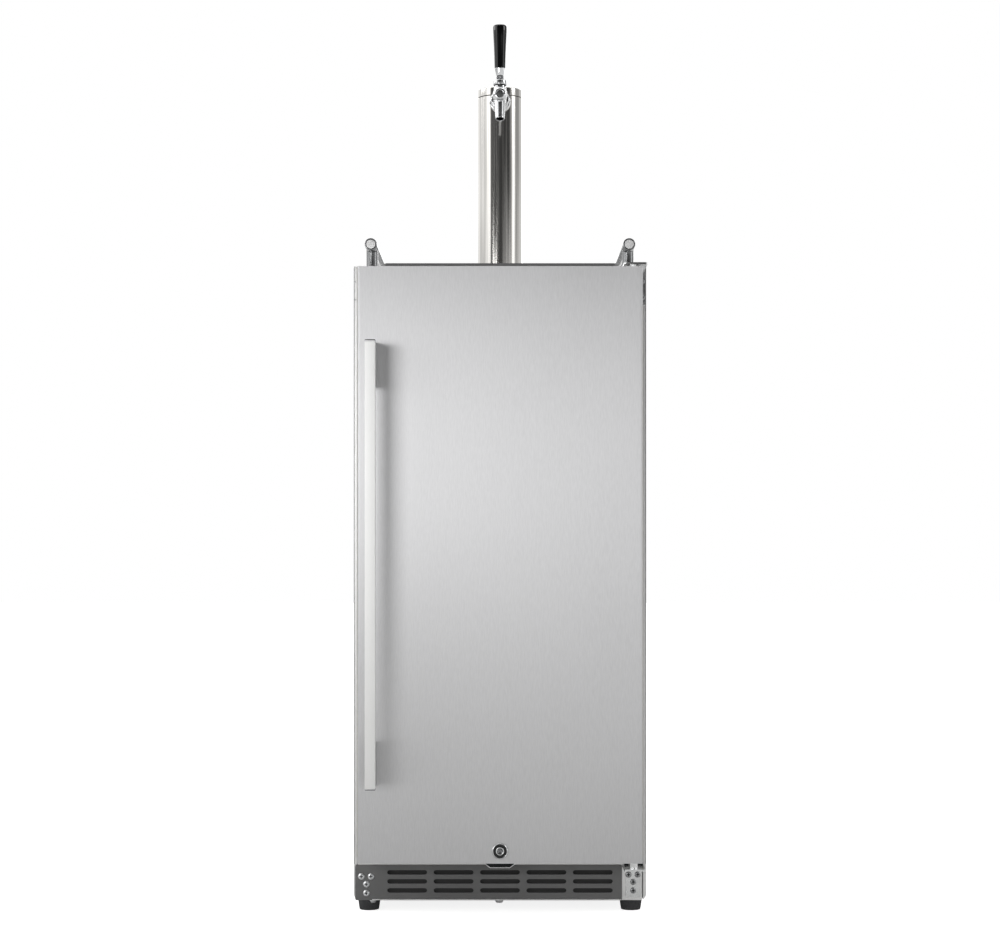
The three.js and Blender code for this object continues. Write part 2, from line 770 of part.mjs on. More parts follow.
// Domed compressor can on a base plate with four grommets
function compressor() {
  const bottom = panTop + fitGap;
  const plateBottom = bottom + grommetHeight;
  const plate = block([-compressorBaseWidth / 2, compressorBaseWidth / 2],
    [-compressorBaseDepth / 2, compressorBaseDepth / 2], [plateBottom, plateBottom + compressorBaseSheet]);
  const domeRise = compressorHeight * domeShare;
  const canBottom = plateBottom + compressorBaseSheet / 2;
  const canTop = canBottom + compressorHeight;
  const can = revolve([
    [0, canBottom], [compressorRadius * canFootShare, canBottom], [compressorRadius, canBottom + domeRise],
    [compressorRadius, canTop - domeRise],
      [compressorRadius * canFootShare, canTop - domeRise * domeMidShare],
    [compressorRadius * canCrownShare, canTop], [0, canTop],
  ], axisZ, [0, 0, 0], roundSides);
  const grommets = [];
  for (const sideX of [-1, 1]) {
    for (const sideY of [-1, 1]) {
      const x = sideX * (compressorBaseWidth / 2 - grommetRadius);
      const grommetY = sideY * (compressorBaseDepth / 2 - grommetRadius);
      grommets.push(rod(grommetRadius, [bottom, plateBottom + compressorBaseSheet], axisZ,
        [x, grommetY, 0], pipeSides));
    }
  }
  const pipes = [canBottom + compressorHeight / 2, canBottom + compressorHeight * pipeHighShare].map((z) =>
    rod(pipeRadius, [compressorRadius - pipeRadius * 2, compressorRadius + pipeLength], axisX, [0, 0, z],
      pipeSides));
  const mesh = meshOf('compressor', join(can, plate, ...grommets, ...pipes), blackPaint);
  mesh.position.set(compressorX, compressorY, 0);
  const panBottom = canTop + fitGap;
  const pan = cut(
    prismZ(roundedRectangle([-drainPanWidth / 2, drainPanWidth / 2], [-drainPanDepth / 2, drainPanDepth / 2],
      linerCornerRadius), [panBottom, panBottom + drainPanHeight]),
    prismZ(roundedRectangle([-drainPanWidth / 2 + drainPanWall, drainPanWidth / 2 - drainPanWall],
      [-drainPanDepth / 2 + drainPanWall, drainPanDepth / 2 - drainPanWall],
        linerCornerRadius - drainPanWall),
    [panBottom + drainPanWall, panBottom + drainPanHeight + overrun]));
  const panMesh = meshOf('drain_pan', pan, blackPlastic);
  panMesh.position.set(compressorX, compressorY, 0);
  return [mesh, panMesh];
}
const domeShare = 0.2;
const domeMidShare = 0.45;
const canFootShare = 0.88;
const canCrownShare = 0.4;
const pipeHighShare = 0.65;

// One unbroken tube folded into passes, held by two end plates that stand on the pan
function condenser() {
  const firstPass = panTop + fitGap + condenserFloorGap;
  const bend = condenserPitch / 2;
  const half = machineHalf - condenserEndGap - bend;
  const stations = [new THREE.Vector3(0, -half - bend, firstPass)];
  for (let pass = 0; pass < condenserPasses; pass += 1) {
    const side = pass % 2 === 0 ? 1 : -1;
    const z = firstPass + pass * condenserPitch;
    stations.push(new THREE.Vector3(0, side * half, z));
    if (pass === condenserPasses - 1) break;
    for (let step = 1; step <= arcSteps + 1; step += 1) {
      const angle = (step / (arcSteps + 1)) * Math.PI;
      stations.push(new THREE.Vector3(0, side * (half + bend * Math.sin(angle)),
        z + bend - bend * Math.cos(angle)));
    }
  }
  const lastSide = condenserPasses % 2 === 0 ? -1 : 1;
  const lastZ = firstPass + (condenserPasses - 1) * condenserPitch;
  stations.push(new THREE.Vector3(0, lastSide * (half + bend), lastZ));
  const coil = tube(stations, condenserTube, coilSides);
  const plates = [-1, 1].map((side) => {
    const inner = side * (half - bend);
    return block([-condenserEndWidth / 2, condenserEndWidth / 2], [inner - sheet / 2, inner + sheet / 2],
      [panTop + fitGap, lastZ + condenserFloorGap]);
  });
  const coilMesh = meshOf('condenser_coil', join(coil, ...plates), copper);
  coilMesh.position.set(condenserX, machineMiddle, 0);
  const hole = machineHalf - shroudEdgeGap - fanArmWidth;
  const middle = panTop + fitGap + hole + fanArmWidth;
  const guard = fanArms(hole, condenserHubRadius, [0, shroudSheet * 2]);
  const sheetHalf = hole + fanArmWidth;
  const sheetSolid = cut(
    block([-sheetHalf, sheetHalf], [0, shroudSheet], [-sheetHalf, sheetHalf]),
    rod(hole, [-overrun, shroudSheet + overrun], axisY, [0, 0, 0], roundSides));
  const shroud = meshOf('fan_shroud', cut(join(sheetSolid, guard.arms), guard.bore), zincSteel);
  const fan = meshOf('condenser_fan',
    fanSolid(hole - fanTipGap, condenserHubRadius, fanDepth, fanBlades, shroudSheet * 3), blackPlastic);
  fan.position.set(0, -fanDepth - fitGap, 0);
  const unit = new THREE.Group();
  unit.position.set(shroudX, machineMiddle, middle);
  unit.rotation.z = -Math.PI / 2;
  unit.add(shroud, fan);
  return [coilMesh, unit];
}

// Finned block and fan behind a vented cover on the back wall
function evaporator() {
  const top = linerCeiling - evaporatorCeilingGap;
  const bottom = top - evaporatorCoverHeight;
  const y = [linerBack - evaporatorCoverDepth, linerBack - fitGap];
  const half = linerHalf - evaporatorSideGap;
  const coilHalf = half - evaporatorCoverWall - evaporatorCoilGap;
  const hole = evaporatorFanRadius + fanTipGap;
  const fanZ = top - hole - fanArmWidth;
  const box = cut(
    block([-half, half], y, [bottom, top]),
    block([-half + evaporatorCoverWall, half - evaporatorCoverWall],
      [y[0] + evaporatorCoverWall, y[1] + overrun],
      [bottom + evaporatorCoverWall, top - evaporatorCoverWall]),
    rod(hole, [y[0] - overrun, y[0] + overrun], axisY, [0, 0, fanZ], roundSides));
  const slots = [];
  for (let index = 0; index < grilleSlots; index += 1) {
    const x = (index - (grilleSlots - 1) / 2) * grilleSlotPitch;
    const slot = slotOutline([x - grilleSlotWidth / 2, x + grilleSlotWidth / 2],
      [bottom + grilleFloorGap, bottom + grilleFloorGap + grilleSlotHeight]);
    slots.push(prismY(slot, [y[0] - overrun, y[0] + overrun], slotSteps));
  }
  const guard = fanArms(hole, evaporatorHubRadius, [0, evaporatorCoverWall * 2]);
  const arms = guard.arms.translate([0, y[0], fanZ]);
  const bore = guard.bore.translate([0, y[0], fanZ]);
  const cover = meshOf('evaporator_cover', cut(join(box, arms), ...slots, bore), whitePlastic);
  const shaft = evaporatorCoverWall * 2;
  const fan = meshOf('evaporator_fan',
    fanSolid(evaporatorFanRadius, evaporatorHubRadius, fanDepth, fanBlades, shaft), whitePlastic);
  fan.rotation.z = Math.PI;
  fan.position.set(0, y[0] + evaporatorCoverWall * 2 + fanDepth + fitGap, fanZ);
  const blockZ = [bottom + evaporatorCoverWall + fitGap,
    bottom + evaporatorCoverWall + fitGap + evaporatorHeight];
  const blockY = [y[1] - evaporatorDepth, y[1]];
  const core = block([-coilHalf, coilHalf], [blockY[1] - evaporatorCore, blockY[1]], blockZ);
  const fins = [];
  for (let index = 0; index < evaporatorFins; index += 1) {
    const x = (index / (evaporatorFins - 1) - 0.5) * (coilHalf * 2 - evaporatorFinSheet);
    fins.push(block([x - evaporatorFinSheet / 2, x + evaporatorFinSheet / 2],
      [blockY[0], blockY[1] - evaporatorCore / 2], blockZ));
  }
  const coil = meshOf('evaporator_coil', join(core, ...fins), zincSteel);
  return [cover, coil, fan];
}

function thermostat() {
  const y = [cabinetFront + thermostatFront, cabinetFront + thermostatFront + thermostatDepth];
  const z = [linerCeiling - fitGap - thermostatHeight, linerCeiling - fitGap];
  const half = thermostatWidth / 2;
  const centreZ = (z[0] + z[1]) / 2;
  const shaftBore = rod(knobShaftRadius + fitGap, [-overrun, knobShaftLength + fitGap], axisY,
    [0, y[0], centreZ],
    smallSides);
  const outline = roundedPolygon([[y[0], z[0]], [y[1], z[0] + thermostatHeight / 2], [y[1], z[1]],
    [y[0], z[1]]],
    thermostatHeight / 8);
  const housing = meshOf('thermostat_housing', cut(prismX(outline, [-half, half]), shaftBore), whitePlastic);
  const head = revolve([[0, -knobDepth], [knobRadius * knobTaperShare, -knobDepth], [knobRadius, -fitGap],
    [knobShaftRadius, -fitGap], [knobShaftRadius, knobShaftLength], [0, knobShaftLength]],
  axisY, [0, 0, 0], smallSides * 2);
  const flutes = [];
  for (let index = 0; index < knobFlutes; index += 1) {
    const angle = (index / knobFlutes) * Math.PI * 2;
    flutes.push(rod(knobFluteRadius, [-knobDepth - overrun, -knobDepth / 3], axisY,
      [knobRadius * Math.cos(angle), 0, knobRadius * Math.sin(angle)], pipeSides));
  }
  const knob = meshOf('thermostat_knob', cut(head, ...flutes), whitePlastic);
  knob.position.set(0, y[0], centreZ);
  return [housing, knob];
}
const knobTaperShare = 0.9;

// Brackets of bent sheet, each with its riveted pin
function hinges() {
  const armX = [hingeX - hingeArmFront, hingeX - hingeArmFront + hingeArmWidth];
  const front = hingeSetback - hingeArmFront;
  const legY = [cabinetFront - fitGap - hingeSheet, cabinetFront - fitGap];
  const upperZ = doorTop + upperHingeGap;
  const legX = [hingeX + sheet, cabinetHalf - sheet];
  const upperArm = prismZ(roundedRectangle([armX[0], cabinetHalf - sheet], [front, legY[1]], hingeSheet),
    [upperZ, upperZ + hingeSheet]);
  const upperLeg = block(legX, legY, [upperZ - upperLegLength, upperZ + hingeSheet]);
  const upperPin = rod(pinRadius, [doorTop - pinDepth, upperZ + hingeSheet / 2], axisZ,
    [hingeX, hingeSetback, 0],
    smallSides);
  const shelfTop = doorBottom - lowerHingeGap;
  const lowerArm = prismZ(roundedRectangle(armX, [front, legY[1]], hingeSheet),
    [shelfTop - hingeSheet, shelfTop]);
  const lowerLeg = block([hingeX - lowerLegWidth / 2 + sheet * 2, hingeX + lowerLegWidth / 2 + sheet * 2],
    legY,
    [shelfTop - lowerLegLength, shelfTop - hingeSheet / 2]);
  const lowerPin = rod(pinRadius, [shelfTop - hingeSheet / 2, doorBottom + pinDepth], axisZ,
    [hingeX, hingeSetback, 0], smallSides);
  const washer = rod(washerRadius, [shelfTop - hingeSheet / 2, doorBottom - fitGap], axisZ,
    [hingeX, hingeSetback, 0], smallSides);
  return [
    meshOf('upper_hinge_bracket', join(upperArm, upperLeg, upperPin), zincSteel),
    meshOf('lower_hinge_bracket', join(lowerArm, lowerLeg, lowerPin, washer), zincSteel),
  ];
}

// A folded pocket under the door that the lock's cam drops into
function lockStrike() {
  const top = strikeBottom + strikeHeight;
  const bottom = strikeBottom;
  const y = [strikeFront, cabinetFront - fitGap];
  const outer = polygon([[-strikeBottomWidth / 2, bottom], [strikeBottomWidth / 2, bottom],
    [strikeTopWidth / 2, top], [-strikeTopWidth / 2, top]]);
  const inner = polygon([[-strikeBottomWidth / 2 + strikeSheet, bottom + strikeSheet],
    [strikeBottomWidth / 2 - strikeSheet, bottom + strikeSheet],
    [strikeTopWidth / 2 - strikeSheet, top + strikeSheet / 2],
      [-strikeTopWidth / 2 + strikeSheet, top + strikeSheet / 2]]);
  const pocket = prismY(inner, [y[0] + strikeSheet, y[1] - strikeSheet]);
  return meshOf('lock_strike', cut(prismY(outer, y), pocket), polishedSteel);
}

// In the door's group the height counts from the door's lower edge.
function doorPieces() {
  const half = doorHalf;
  const lockPlace = [0, 0, lockHeight];
  const pinPlace = [hingeX, hingeSetback, 0];
  const outline = new THREE.Shape();
  outline.moveTo(-half, doorThickness - doorLinerSheet);
  outline.lineTo(-half, doorEdgeRadius);
  outline.absarc(-half + doorEdgeRadius, doorEdgeRadius, doorEdgeRadius, Math.PI, Math.PI * 1.5);
  outline.absarc(half - doorEdgeRadius, doorEdgeRadius, doorEdgeRadius, -Math.PI / 2, 0);
  outline.lineTo(half, doorThickness - doorLinerSheet);
  const coreX = [-half + sheet + fitGap, half - sheet - fitGap];
  const coreY = [sheet + fitGap, doorThickness - doorLinerSheet - fitGap * 2];
  const coreZ = [sheet + fitGap, doorHeight - sheet - fitGap];
  const hollow = block([-half + sheet, half - sheet], [sheet, doorThickness + overrun],
    [sheet, doorHeight - sheet]);
  const barrelBore = rod(lockBarrelRadius + fitGap, [-overrun, lockBarrelLength + fitGap], axisY,
    lockPlace, roundSides);
  const bushBore = rod(bushRadius + fitGap, [-overrun, doorHeight + overrun], axisZ, pinPlace, smallSides);
  const camY = [lockBarrelLength, lockBarrelLength + camThickness + camClearance * 2];
  const camReach = camLength + camClearance * 2;
  const camRoom = block([-camWidth / 2 - camClearance, camReach], camY,
    [-overrun, lockHeight + camWidth / 2 + camClearance]);
  const skin = cut(prismZ(outline, [0, doorHeight]), hollow, barrelBore, bushBore, camRoom);
  const bushZ = { door_bush_lower: [0, bushDepth], door_bush_upper: [doorHeight - bushDepth, doorHeight] };
  const bushSeats = Object.values(bushZ).map(([low, high]) =>
    rod(bushRadius + fitGap, [low - fitGap, high + fitGap], axisZ, pinPlace, smallSides));
  const core = cut(block(coreX, coreY, coreZ), barrelBore, camRoom, ...bushSeats);
  const bushes = Object.entries(bushZ).map(([name, [low, high]]) => {
    const inner = pinRadius + fitGap;
    const profile = [[inner, low], [bushRadius, low], [bushRadius, high], [inner, high], [inner, low]];
    return meshOf(name, revolve(profile, axisZ, pinPlace, smallSides), blackPlastic);
  });
  const linerY = [doorThickness - doorLinerSheet - fitGap, doorThickness];
  const dikeHalf = half - gasketInset - gasketWidth - gasketWidth / 4;
  const dikeZ = [doorHalf - dikeHalf, doorHeight - doorHalf + dikeHalf];
  const liner = join(
    block([-half + sheet + fitGap, half - sheet - fitGap], linerY, coreZ),
    prismY(roundedRectangle([-dikeHalf, dikeHalf], dikeZ, linerCornerRadius),
      [linerY[0], doorThickness + dikeHeight]));
  const gasketHalf = half - gasketInset;
  const gasketZ = [gasketInset, doorHeight - gasketInset];
  const gasket = ring([-gasketHalf, gasketHalf], gasketZ,
    [-gasketHalf + gasketWidth, gasketHalf - gasketWidth],
    [gasketZ[0] + gasketWidth, gasketZ[1] - gasketWidth], [doorThickness + fitGap, cabinetFront - fitGap]);
  return [
    meshOf('door_skin', skin, brushedSteel),
    meshOf('door_core', core, yellowFoam),
    meshOf('door_liner', liner, whitePlastic),
    meshOf('door_gasket', gasket, greyRubber),
    ...bushes,
    ...doorHandle(),
    ...doorLock(lockPlace),
  ];
}

function doorHandle() {
  const centre = -doorHalf + handleInset;
  const barEnd = doorHeight - handleTopGap;
  const bar = prismZ(roundedRectangle([centre - handleWidth / 2, centre + handleWidth / 2],
    [-handleReach, -handleReach + handleDepth], handleEdgeRadius), [handleStart, barEnd]);
  const postX = [centre - handlePostWidth / 2, centre + handlePostWidth / 2];
  const postY = [-handleReach + handleDepth + fitGap, -fitGap];
  const starts = {
    handle_post_lower: handleStart,
    handle_post_upper: barEnd - handlePostHeight,
  };
  const posts = Object.entries(starts).map(([name, start]) => {
    const outline = roundedRectangle(postX, [start, start + handlePostHeight], handleEdgeRadius);
    return meshOf(name, prismY(outline, postY), brushedSteel);
  });
  return [meshOf('handle_bar', bar, brushedSteel), ...posts];
}

function doorLock(place) {
  const boreRadius = lockPlugRadius + fitGap;
  const housing = revolve([
    [boreRadius, -lockBezelReach + lockPlugReach],
      [lockBarrelRadius * bezelDishShare, -lockBezelReach + lockPlugReach],
    [lockBarrelRadius, -lockBezelReach], [lockBezelRadius - lockPlugReach, -lockBezelReach],
    [lockBezelRadius, -lockBezelReach + lockPlugReach], [lockBezelRadius, -fitGap],
    [lockBarrelRadius, -fitGap], [lockBarrelRadius, lockBarrelLength], [boreRadius, lockBarrelLength],
    [boreRadius, -lockBezelReach + lockPlugReach],
  ], axisY, place, roundSides);
  const plugEnd = lockBarrelLength + camClearance - fitGap;
  const plugFront = -lockBezelReach - lockPlugReach / 2;
  const keyway = block([-keywayWidth / 2, keywayWidth / 2], [plugFront - overrun, plugFront + keywayDepth],
    [lockHeight - keywayHeight / 2, lockHeight + keywayHeight / 2]);
  const plug = cut(rod(lockPlugRadius, [plugFront, plugEnd], axisY, place, smallSides), keyway);
  const cam = roundedRectangle([-camWidth / 2, camLength],
    [lockHeight - camWidth / 2, lockHeight + camWidth / 2],
    camWidth / 4);
  return [
    meshOf('lock_housing', housing, polishedSteel),
    meshOf('lock_plug', plug, polishedSteel),
    meshOf('lock_cam', prismY(cam, [plugEnd + fitGap, plugEnd + fitGap + camThickness]), zincSteel),
  ];
}
const bezelDishShare = 0.97;

function guardRail() {
  const x = cabinetHalf - railInset;
  const z = cabinetTop + railHeight;
  const front = cabinetFront + railFront;
  const back = cabinetBack - railBackGap;
  const sideRail = (name, side) => {
    const bar = revolve([[0, 0], [railRadius - railEndLip, 0], [railRadius, railEndLip],
      [railRadius, back - front],
      [0, back - front]], axisY, [side * x, front, z], smallSides);
    const posts = [front + railPostFront, back - railPostBack].map((y) => revolve([
      [0, cabinetTop + fitGap], [railFlangeRadius, cabinetTop + fitGap],
      [railFlangeRadius, cabinetTop + fitGap + railFlangeHeight],
      [railPostRadius, cabinetTop + fitGap + railFlangeHeight], [railPostRadius, z], [0, z],
    ], axisZ, [side * x, y, 0], smallSides));
    return meshOf(name, join(bar, ...posts), polishedSteel);
  };
  const acrossHalf = x - railRadius - fitGap;
  const across = rod(railRadius, [-acrossHalf, acrossHalf], axisX, [0, back - railRadius - railEndLip, z],
    smallSides);
  return [sideRail('rail_left', -1), sideRail('rail_right', 1), meshOf('rail_back', across, polishedSteel)];
}

// In the tower's group the origin is on its axis, on the top plate.
function towerPieces() {
  const inner = towerRadius - towerWall;
  const columnStart = towerFlangeHeight + fitGap * 2;
  const flange = revolve([
    [towerBoreRadius, fitGap], [towerFlangeRadius - towerFlangeHeight / 2, fitGap],
    [towerFlangeRadius, towerFlangeHeight / 2],
      [towerFlangeRadius - towerFlangeHeight / 2, columnStart - fitGap],
    [inner - fitGap, columnStart - fitGap], [inner - fitGap, towerSpigotHeight],
    [towerBoreRadius, towerSpigotHeight], [towerBoreRadius, fitGap],
  ], axisZ, [0, 0, 0], roundSides);
  const shankHole = rod(shankRadius + fitGap, [0, towerRadius + overrun], axisY.clone().negate(),
    [0, 0, shankHeight], smallSides);
  const column = cut(revolve([
    [inner, columnStart], [towerRadius, columnStart], [towerRadius, towerHeight], [inner, towerHeight],
    [inner, columnStart]], axisZ, [0, 0, 0], roundSides), shankHole);
  const capBottom = towerHeight + fitGap;
  const capTop = towerHeight + towerCapHeight;
  const skirt = inner - fitGap;
  const cap = cut(revolve([
    [skirt - towerWall, towerHeight - towerSkirt], [skirt, towerHeight - towerSkirt], [skirt, capBottom],
    [towerRadius, capBottom], [towerRadius, capTop - towerCapEdge], [towerRadius - towerCapEdge, capTop],
    [0, capTop], [0, capTop - towerWall * 2], [skirt - towerWall, capTop - towerWall * 2],
    [skirt - towerWall, towerHeight - towerSkirt],
  ], axisZ, [0, 0, 0], roundSides), shankHole);
  return [
    meshOf('tower_flange', flange, brushedSteel),
    meshOf('tower_column', column, brushedSteel),
    meshOf('tower_cap', cap, brushedSteel),
    beerLine(inner),
  ];
}

// Hose from the shank's tail down the tower, with a hex nut at its lower end
function beerLine(inner) {
  const start = -inner + shankTail + fitGap * 2;
  const bottom = linerCeiling - plateTop - lineBelowCeiling;
  const stations = [new THREE.Vector3(0, start, shankHeight)];
  for (let step = 0; step <= arcSteps; step += 1) {
    const angle = (step / arcSteps) * Math.PI / 2;
    stations.push(new THREE.Vector3(0, start + lineRadius + lineBend * Math.sin(angle),
      shankHeight - lineBend + lineBend * Math.cos(angle)));
  }
  stations.push(new THREE.Vector3(0, start + lineRadius + lineBend, bottom + lineNutHeight / 2));
  const nut = rod(lineNutRadius, [bottom, bottom + lineNutHeight], axisZ,
    [0, start + lineRadius + lineBend, 0],
    nutSides);
  return meshOf('beer_line', join(tube(stations, lineRadius, pipeSides), nut), clearHose);
}

// In the faucet's group the origin is where the shank's axis meets the tower's front; -Y leads to the user.
function faucetPieces() {
  const towardsUser = axisY.clone().negate();
  const inner = towerWall + shankTail;
  const bodyStart = shankReach + fitGap;
  const shank = revolve([
    [shankBoreRadius, -inner], [shankRadius, -inner], [shankRadius, 0], [shankFlangeRadius, 0],
    [shankFlangeRadius, shankFlangeReach - fitGap], [shankNeckRadius, shankFlangeReach],
    [shankNeckRadius, shankReach], [shankBoreRadius, shankReach], [shankBoreRadius, -inner],
  ], towardsUser, [0, 0, 0], roundSides);
  const seatCut = cut(
    rod(towerRadius + fitGap, [-shankFlangeRadius - overrun, shankFlangeRadius + overrun], axisZ,
      [0, towerRadius, 0],
      roundSides),
    rod(shankRadius, [-towerRadius, shankTail + towerRadius], axisY, [0, 0, 0], roundSides));
  const notches = [];
  for (let index = 0; index < couplingFlats; index += 1) {
    const angle = (index / couplingFlats) * Math.PI * 2;
    notches.push(rod(couplingNotch, [shankFlangeReach - overrun, shankReach + overrun], towardsUser,
      [couplingRadius * Math.cos(angle), 0, couplingRadius * Math.sin(angle)], pipeSides));
  }
  const couplingBore = shankNeckRadius + fitGap;
  const couplingStart = shankFlangeReach + fitGap;
  const coupling = cut(revolve([
    [couplingBore, couplingStart], [couplingRadius, couplingStart],
      [couplingRadius, couplingStart + couplingLength],
    [couplingBore, couplingStart + couplingLength], [couplingBore, couplingStart],
  ], towardsUser, [0, 0, 0], roundSides), ...notches);
  const bodyEnd = bodyStart + bodyLength;
  const bodyRoll = revolve([
    [0, bodyStart], [bodyRadius, bodyStart], [bodyRadius, bodyEnd - bodyRadius],
    [noseRadius, bodyEnd - bodyRadius / 4], [noseRadius - noseDishDepth, bodyEnd],
    [noseDishRadius, bodyEnd], [noseDishRadius - noseDishDepth, bodyEnd - noseDishDepth],
      [0, bodyEnd - noseDishDepth],
  ], towardsUser, [0, 0, 0], roundSides);
  const bonnetY = -bodyStart - bonnetPlace;
  const neck = rod(collarRadius, [0, bonnetBottom - fitGap], axisZ, [0, bonnetY, 0], roundSides);
  const leverRoom = rod(bonnetBoreRadius, [0, bonnetBottom + overrun], axisZ, [0, bonnetY, 0], smallSides);
  const slotHalf = leverFootRadius + fitGap * 2;
  const leverSlot = block([-slotHalf, slotHalf], [bonnetY, bonnetY + leverSlotReach],
    [0, bonnetBottom + overrun]);
  const valveRoom = rod(bodyBoreRadius, [bodyStart - overrun, bodyStart + bonnetPlace + bonnetBoreRadius],
    towardsUser,
    [0, 0, 0], smallSides);
  const spoutY = -bodyStart - spoutPlace;
  const spoutHole = rod(spoutBoreRadius, [-bodyRadius * 2, 0], axisZ, [0, spoutY, 0], smallSides);
  const body = cut(join(bodyRoll, neck), leverRoom, leverSlot, valveRoom, spoutHole);
  const bonnetTop = bonnetBottom + bonnetHeight;
  const bonnet = revolve([
    [bonnetBoreRadius, bonnetBottom], [bonnetRadius, bonnetBottom],
    [bonnetRadius, bonnetTop - bonnetHeight / 4], [bonnetRadius * bonnetTopShare, bonnetTop],
    [bonnetBoreRadius, bonnetTop], [leverBallRadius + fitGap, leverPivot], [bonnetBoreRadius, bonnetBottom],
  ], axisZ, [0, bonnetY, 0], roundSides);
  const lean = THREE.MathUtils.degToRad(spoutLeanDegrees);
  const down = new THREE.Vector3(0, -Math.sin(lean), -Math.cos(lean));
  const spout = cut(
    revolve([[0, 0], [spoutTopRadius, 0], [spoutTipRadius, spoutLength], [0, spoutLength]], down,
      [0, spoutY, -spoutTop], roundSides),
    rod(spoutBoreRadius, [-overrun, spoutLength + overrun], down, [0, spoutY, -spoutTop], smallSides),
    rod(bodyRadius + fitGap, [bodyStart, bodyEnd], towardsUser, [0, 0, 0], roundSides));
  return [
    meshOf('shank', cut(shank, seatCut), polishedSteel),
    meshOf('coupling_ring', coupling, polishedSteel),
    meshOf('faucet_body', body, polishedSteel),
    meshOf('faucet_bonnet', bonnet, polishedSteel),
    meshOf('spout', spout, polishedSteel),
    valveShaft(bodyStart),
    tapLever(bonnetY),
  ];
}
const bonnetTopShare = 0.98;

// A rod with a seal at its rear end; the lever's foot pushes its front end back
function valveShaft(bodyStart) {
  const front = bodyStart + bonnetPlace - leverFootRadius - fitGap;
  const shaft = revolve([
    [0, front - valveRodLength - valveSeatLength],
      [valveSeatRadius, front - valveRodLength - valveSeatLength],
    [valveSeatRadius, front - valveRodLength], [valveRodRadius, front - valveRodLength],
    [valveRodRadius, front], [0, front],
  ], axisY.clone().negate(), [0, 0, 0], smallSides);
  return meshOf('valve_shaft', shaft, polishedSteel);
}

// The lever stands on its ball; ferrule and handle screw onto its upper thread.
function tapLever(bonnetY) {
  const group = new THREE.Group();
  group.position.set(0, bonnetY, leverPivot);
  const ballWaist = leverBallRadius * ballWaistShare;
  const lever = revolve([
    [0, -leverFootLength], [leverFootRadius, -leverFootLength], [leverFootRadius, -ballWaist],
    [leverBallRadius, 0], [leverStemRadius, ballWaist], [leverStemRadius, leverTop], [0, leverTop],
  ], axisZ, [0, 0, 0], smallSides);
  const bore = leverStemRadius + fitGap;
  const ferruleEnd = ferruleStart + ferruleHeight - leverPivot;
  const ferruleBase = ferruleStart - leverPivot;
  const ferrule = revolve([
    [bore, ferruleBase], [ferruleBottomRadius, ferruleBase],
      [ferruleBottomRadius, ferruleBase + ferruleHeight / 5],
    [ferruleTopRadius, ferruleEnd - ferruleHeight / 3], [ferruleTopRadius, ferruleEnd], [bore, ferruleEnd],
    [bore, ferruleBase],
  ], axisZ, [0, 0, 0], roundSides);
  const handleStartZ = ferruleEnd + fitGap;
  const handleEnd = handleStartZ + handleTall;
  const dome = handleTopRadius * handleDomeShare;
  const grip = cut(revolve([
    [0, handleStartZ], [handleBottomRadius, handleStartZ], [handleTopRadius, handleEnd - dome * 3],
    [handleTopRadius, handleEnd - dome], [handleTopRadius - dome, handleEnd - dome / 4],
    [handleTopRadius * handleCrownShare, handleEnd], [0, handleEnd],
  ], axisZ, [0, 0, 0], roundSides),
  rod(bore, [handleStartZ - overrun, leverTop + fitGap], axisZ, [0, 0, 0], smallSides));
  group.add(
    meshOf('tap_lever', lever, polishedSteel),
    meshOf('tap_ferrule', ferrule, polishedSteel),
    meshOf('tap_handle', grip, blackPlastic));
  return group;
}
const ballWaistShare = 0.6;
const handleDomeShare = 0.25;
const handleCrownShare = 0.4;

// Lift-off tray with a slotted grate resting on its inner ledge
function dripTray() {
  const half = trayWidth / 2;
  const y = [cabinetFront + trayFront, cabinetFront + trayFront + trayDepth];
  const bottom = plateTop + fitGap;
  const inset = (grow) => roundedRectangle([-half + grow, half - grow], [y[0] + grow, y[1] - grow],
    trayCornerRadius - grow);
  const top = bottom + trayHeight;
  const ledgeTop = top - grateSheet - fitGap;
  const tray = cut(
    prismZ(inset(0), [bottom, top]),
    prismZ(inset(trayWall + trayLedge), [bottom + trayWall, top + overrun]),
    prismZ(inset(trayWall), [ledgeTop, top + overrun]));
  const slots = [];
  for (let index = 0; index < grateSlots; index += 1) {
    const x = (index - (grateSlots - 1) / 2) * grateSlotPitch;
    const slot = slotOutline([x - grateSlotWidth / 2, x + grateSlotWidth / 2],
      [y[0] + grateMargin, y[1] - grateMargin]);
    slots.push(prismZ(slot, [bottom, top + overrun], slotSteps));
  }
  const grate = cut(prismZ(inset(trayWall + fitGap), [ledgeTop + fitGap, top]), ...slots);
  return [meshOf('drip_tray', tray, blackPlastic), meshOf('drip_grate', grate, brushedSteel)];
}

const kegerator = new THREE.Group();
kegerator.position.set(0, faceY, 0);
kegerator.add(
  ...cabinetShell(), ...insulation(), frontFrame(), kickPlate(), rearCover(), powerInlet(), ...compressor(),
  ...condenser(), ...evaporator(), ...thermostat(), ...hinges(), lockStrike(), ...guardRail(),
    ...dripTray(), ...feet());

const door = new THREE.Group();
door.position.set(0, 0, doorBottom);
door.add(...doorPieces());

const tower = new THREE.Group();
tower.position.set(0, towerY, plateTop);
tower.add(...towerPieces());

const faucet = new THREE.Group();
faucet.position.set(0, -towerRadius, shankHeight);
faucet.add(...faucetPieces());
tower.add(faucet);
kegerator.add(door, tower);

export default kegerator;
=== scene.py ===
"""Looks of the kegerator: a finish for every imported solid, finer round pieces and small hardware."""

import logging
import math
from dataclasses import dataclass
from enum import Enum

import bmesh
import bpy
from mathutils import Matrix, Vector


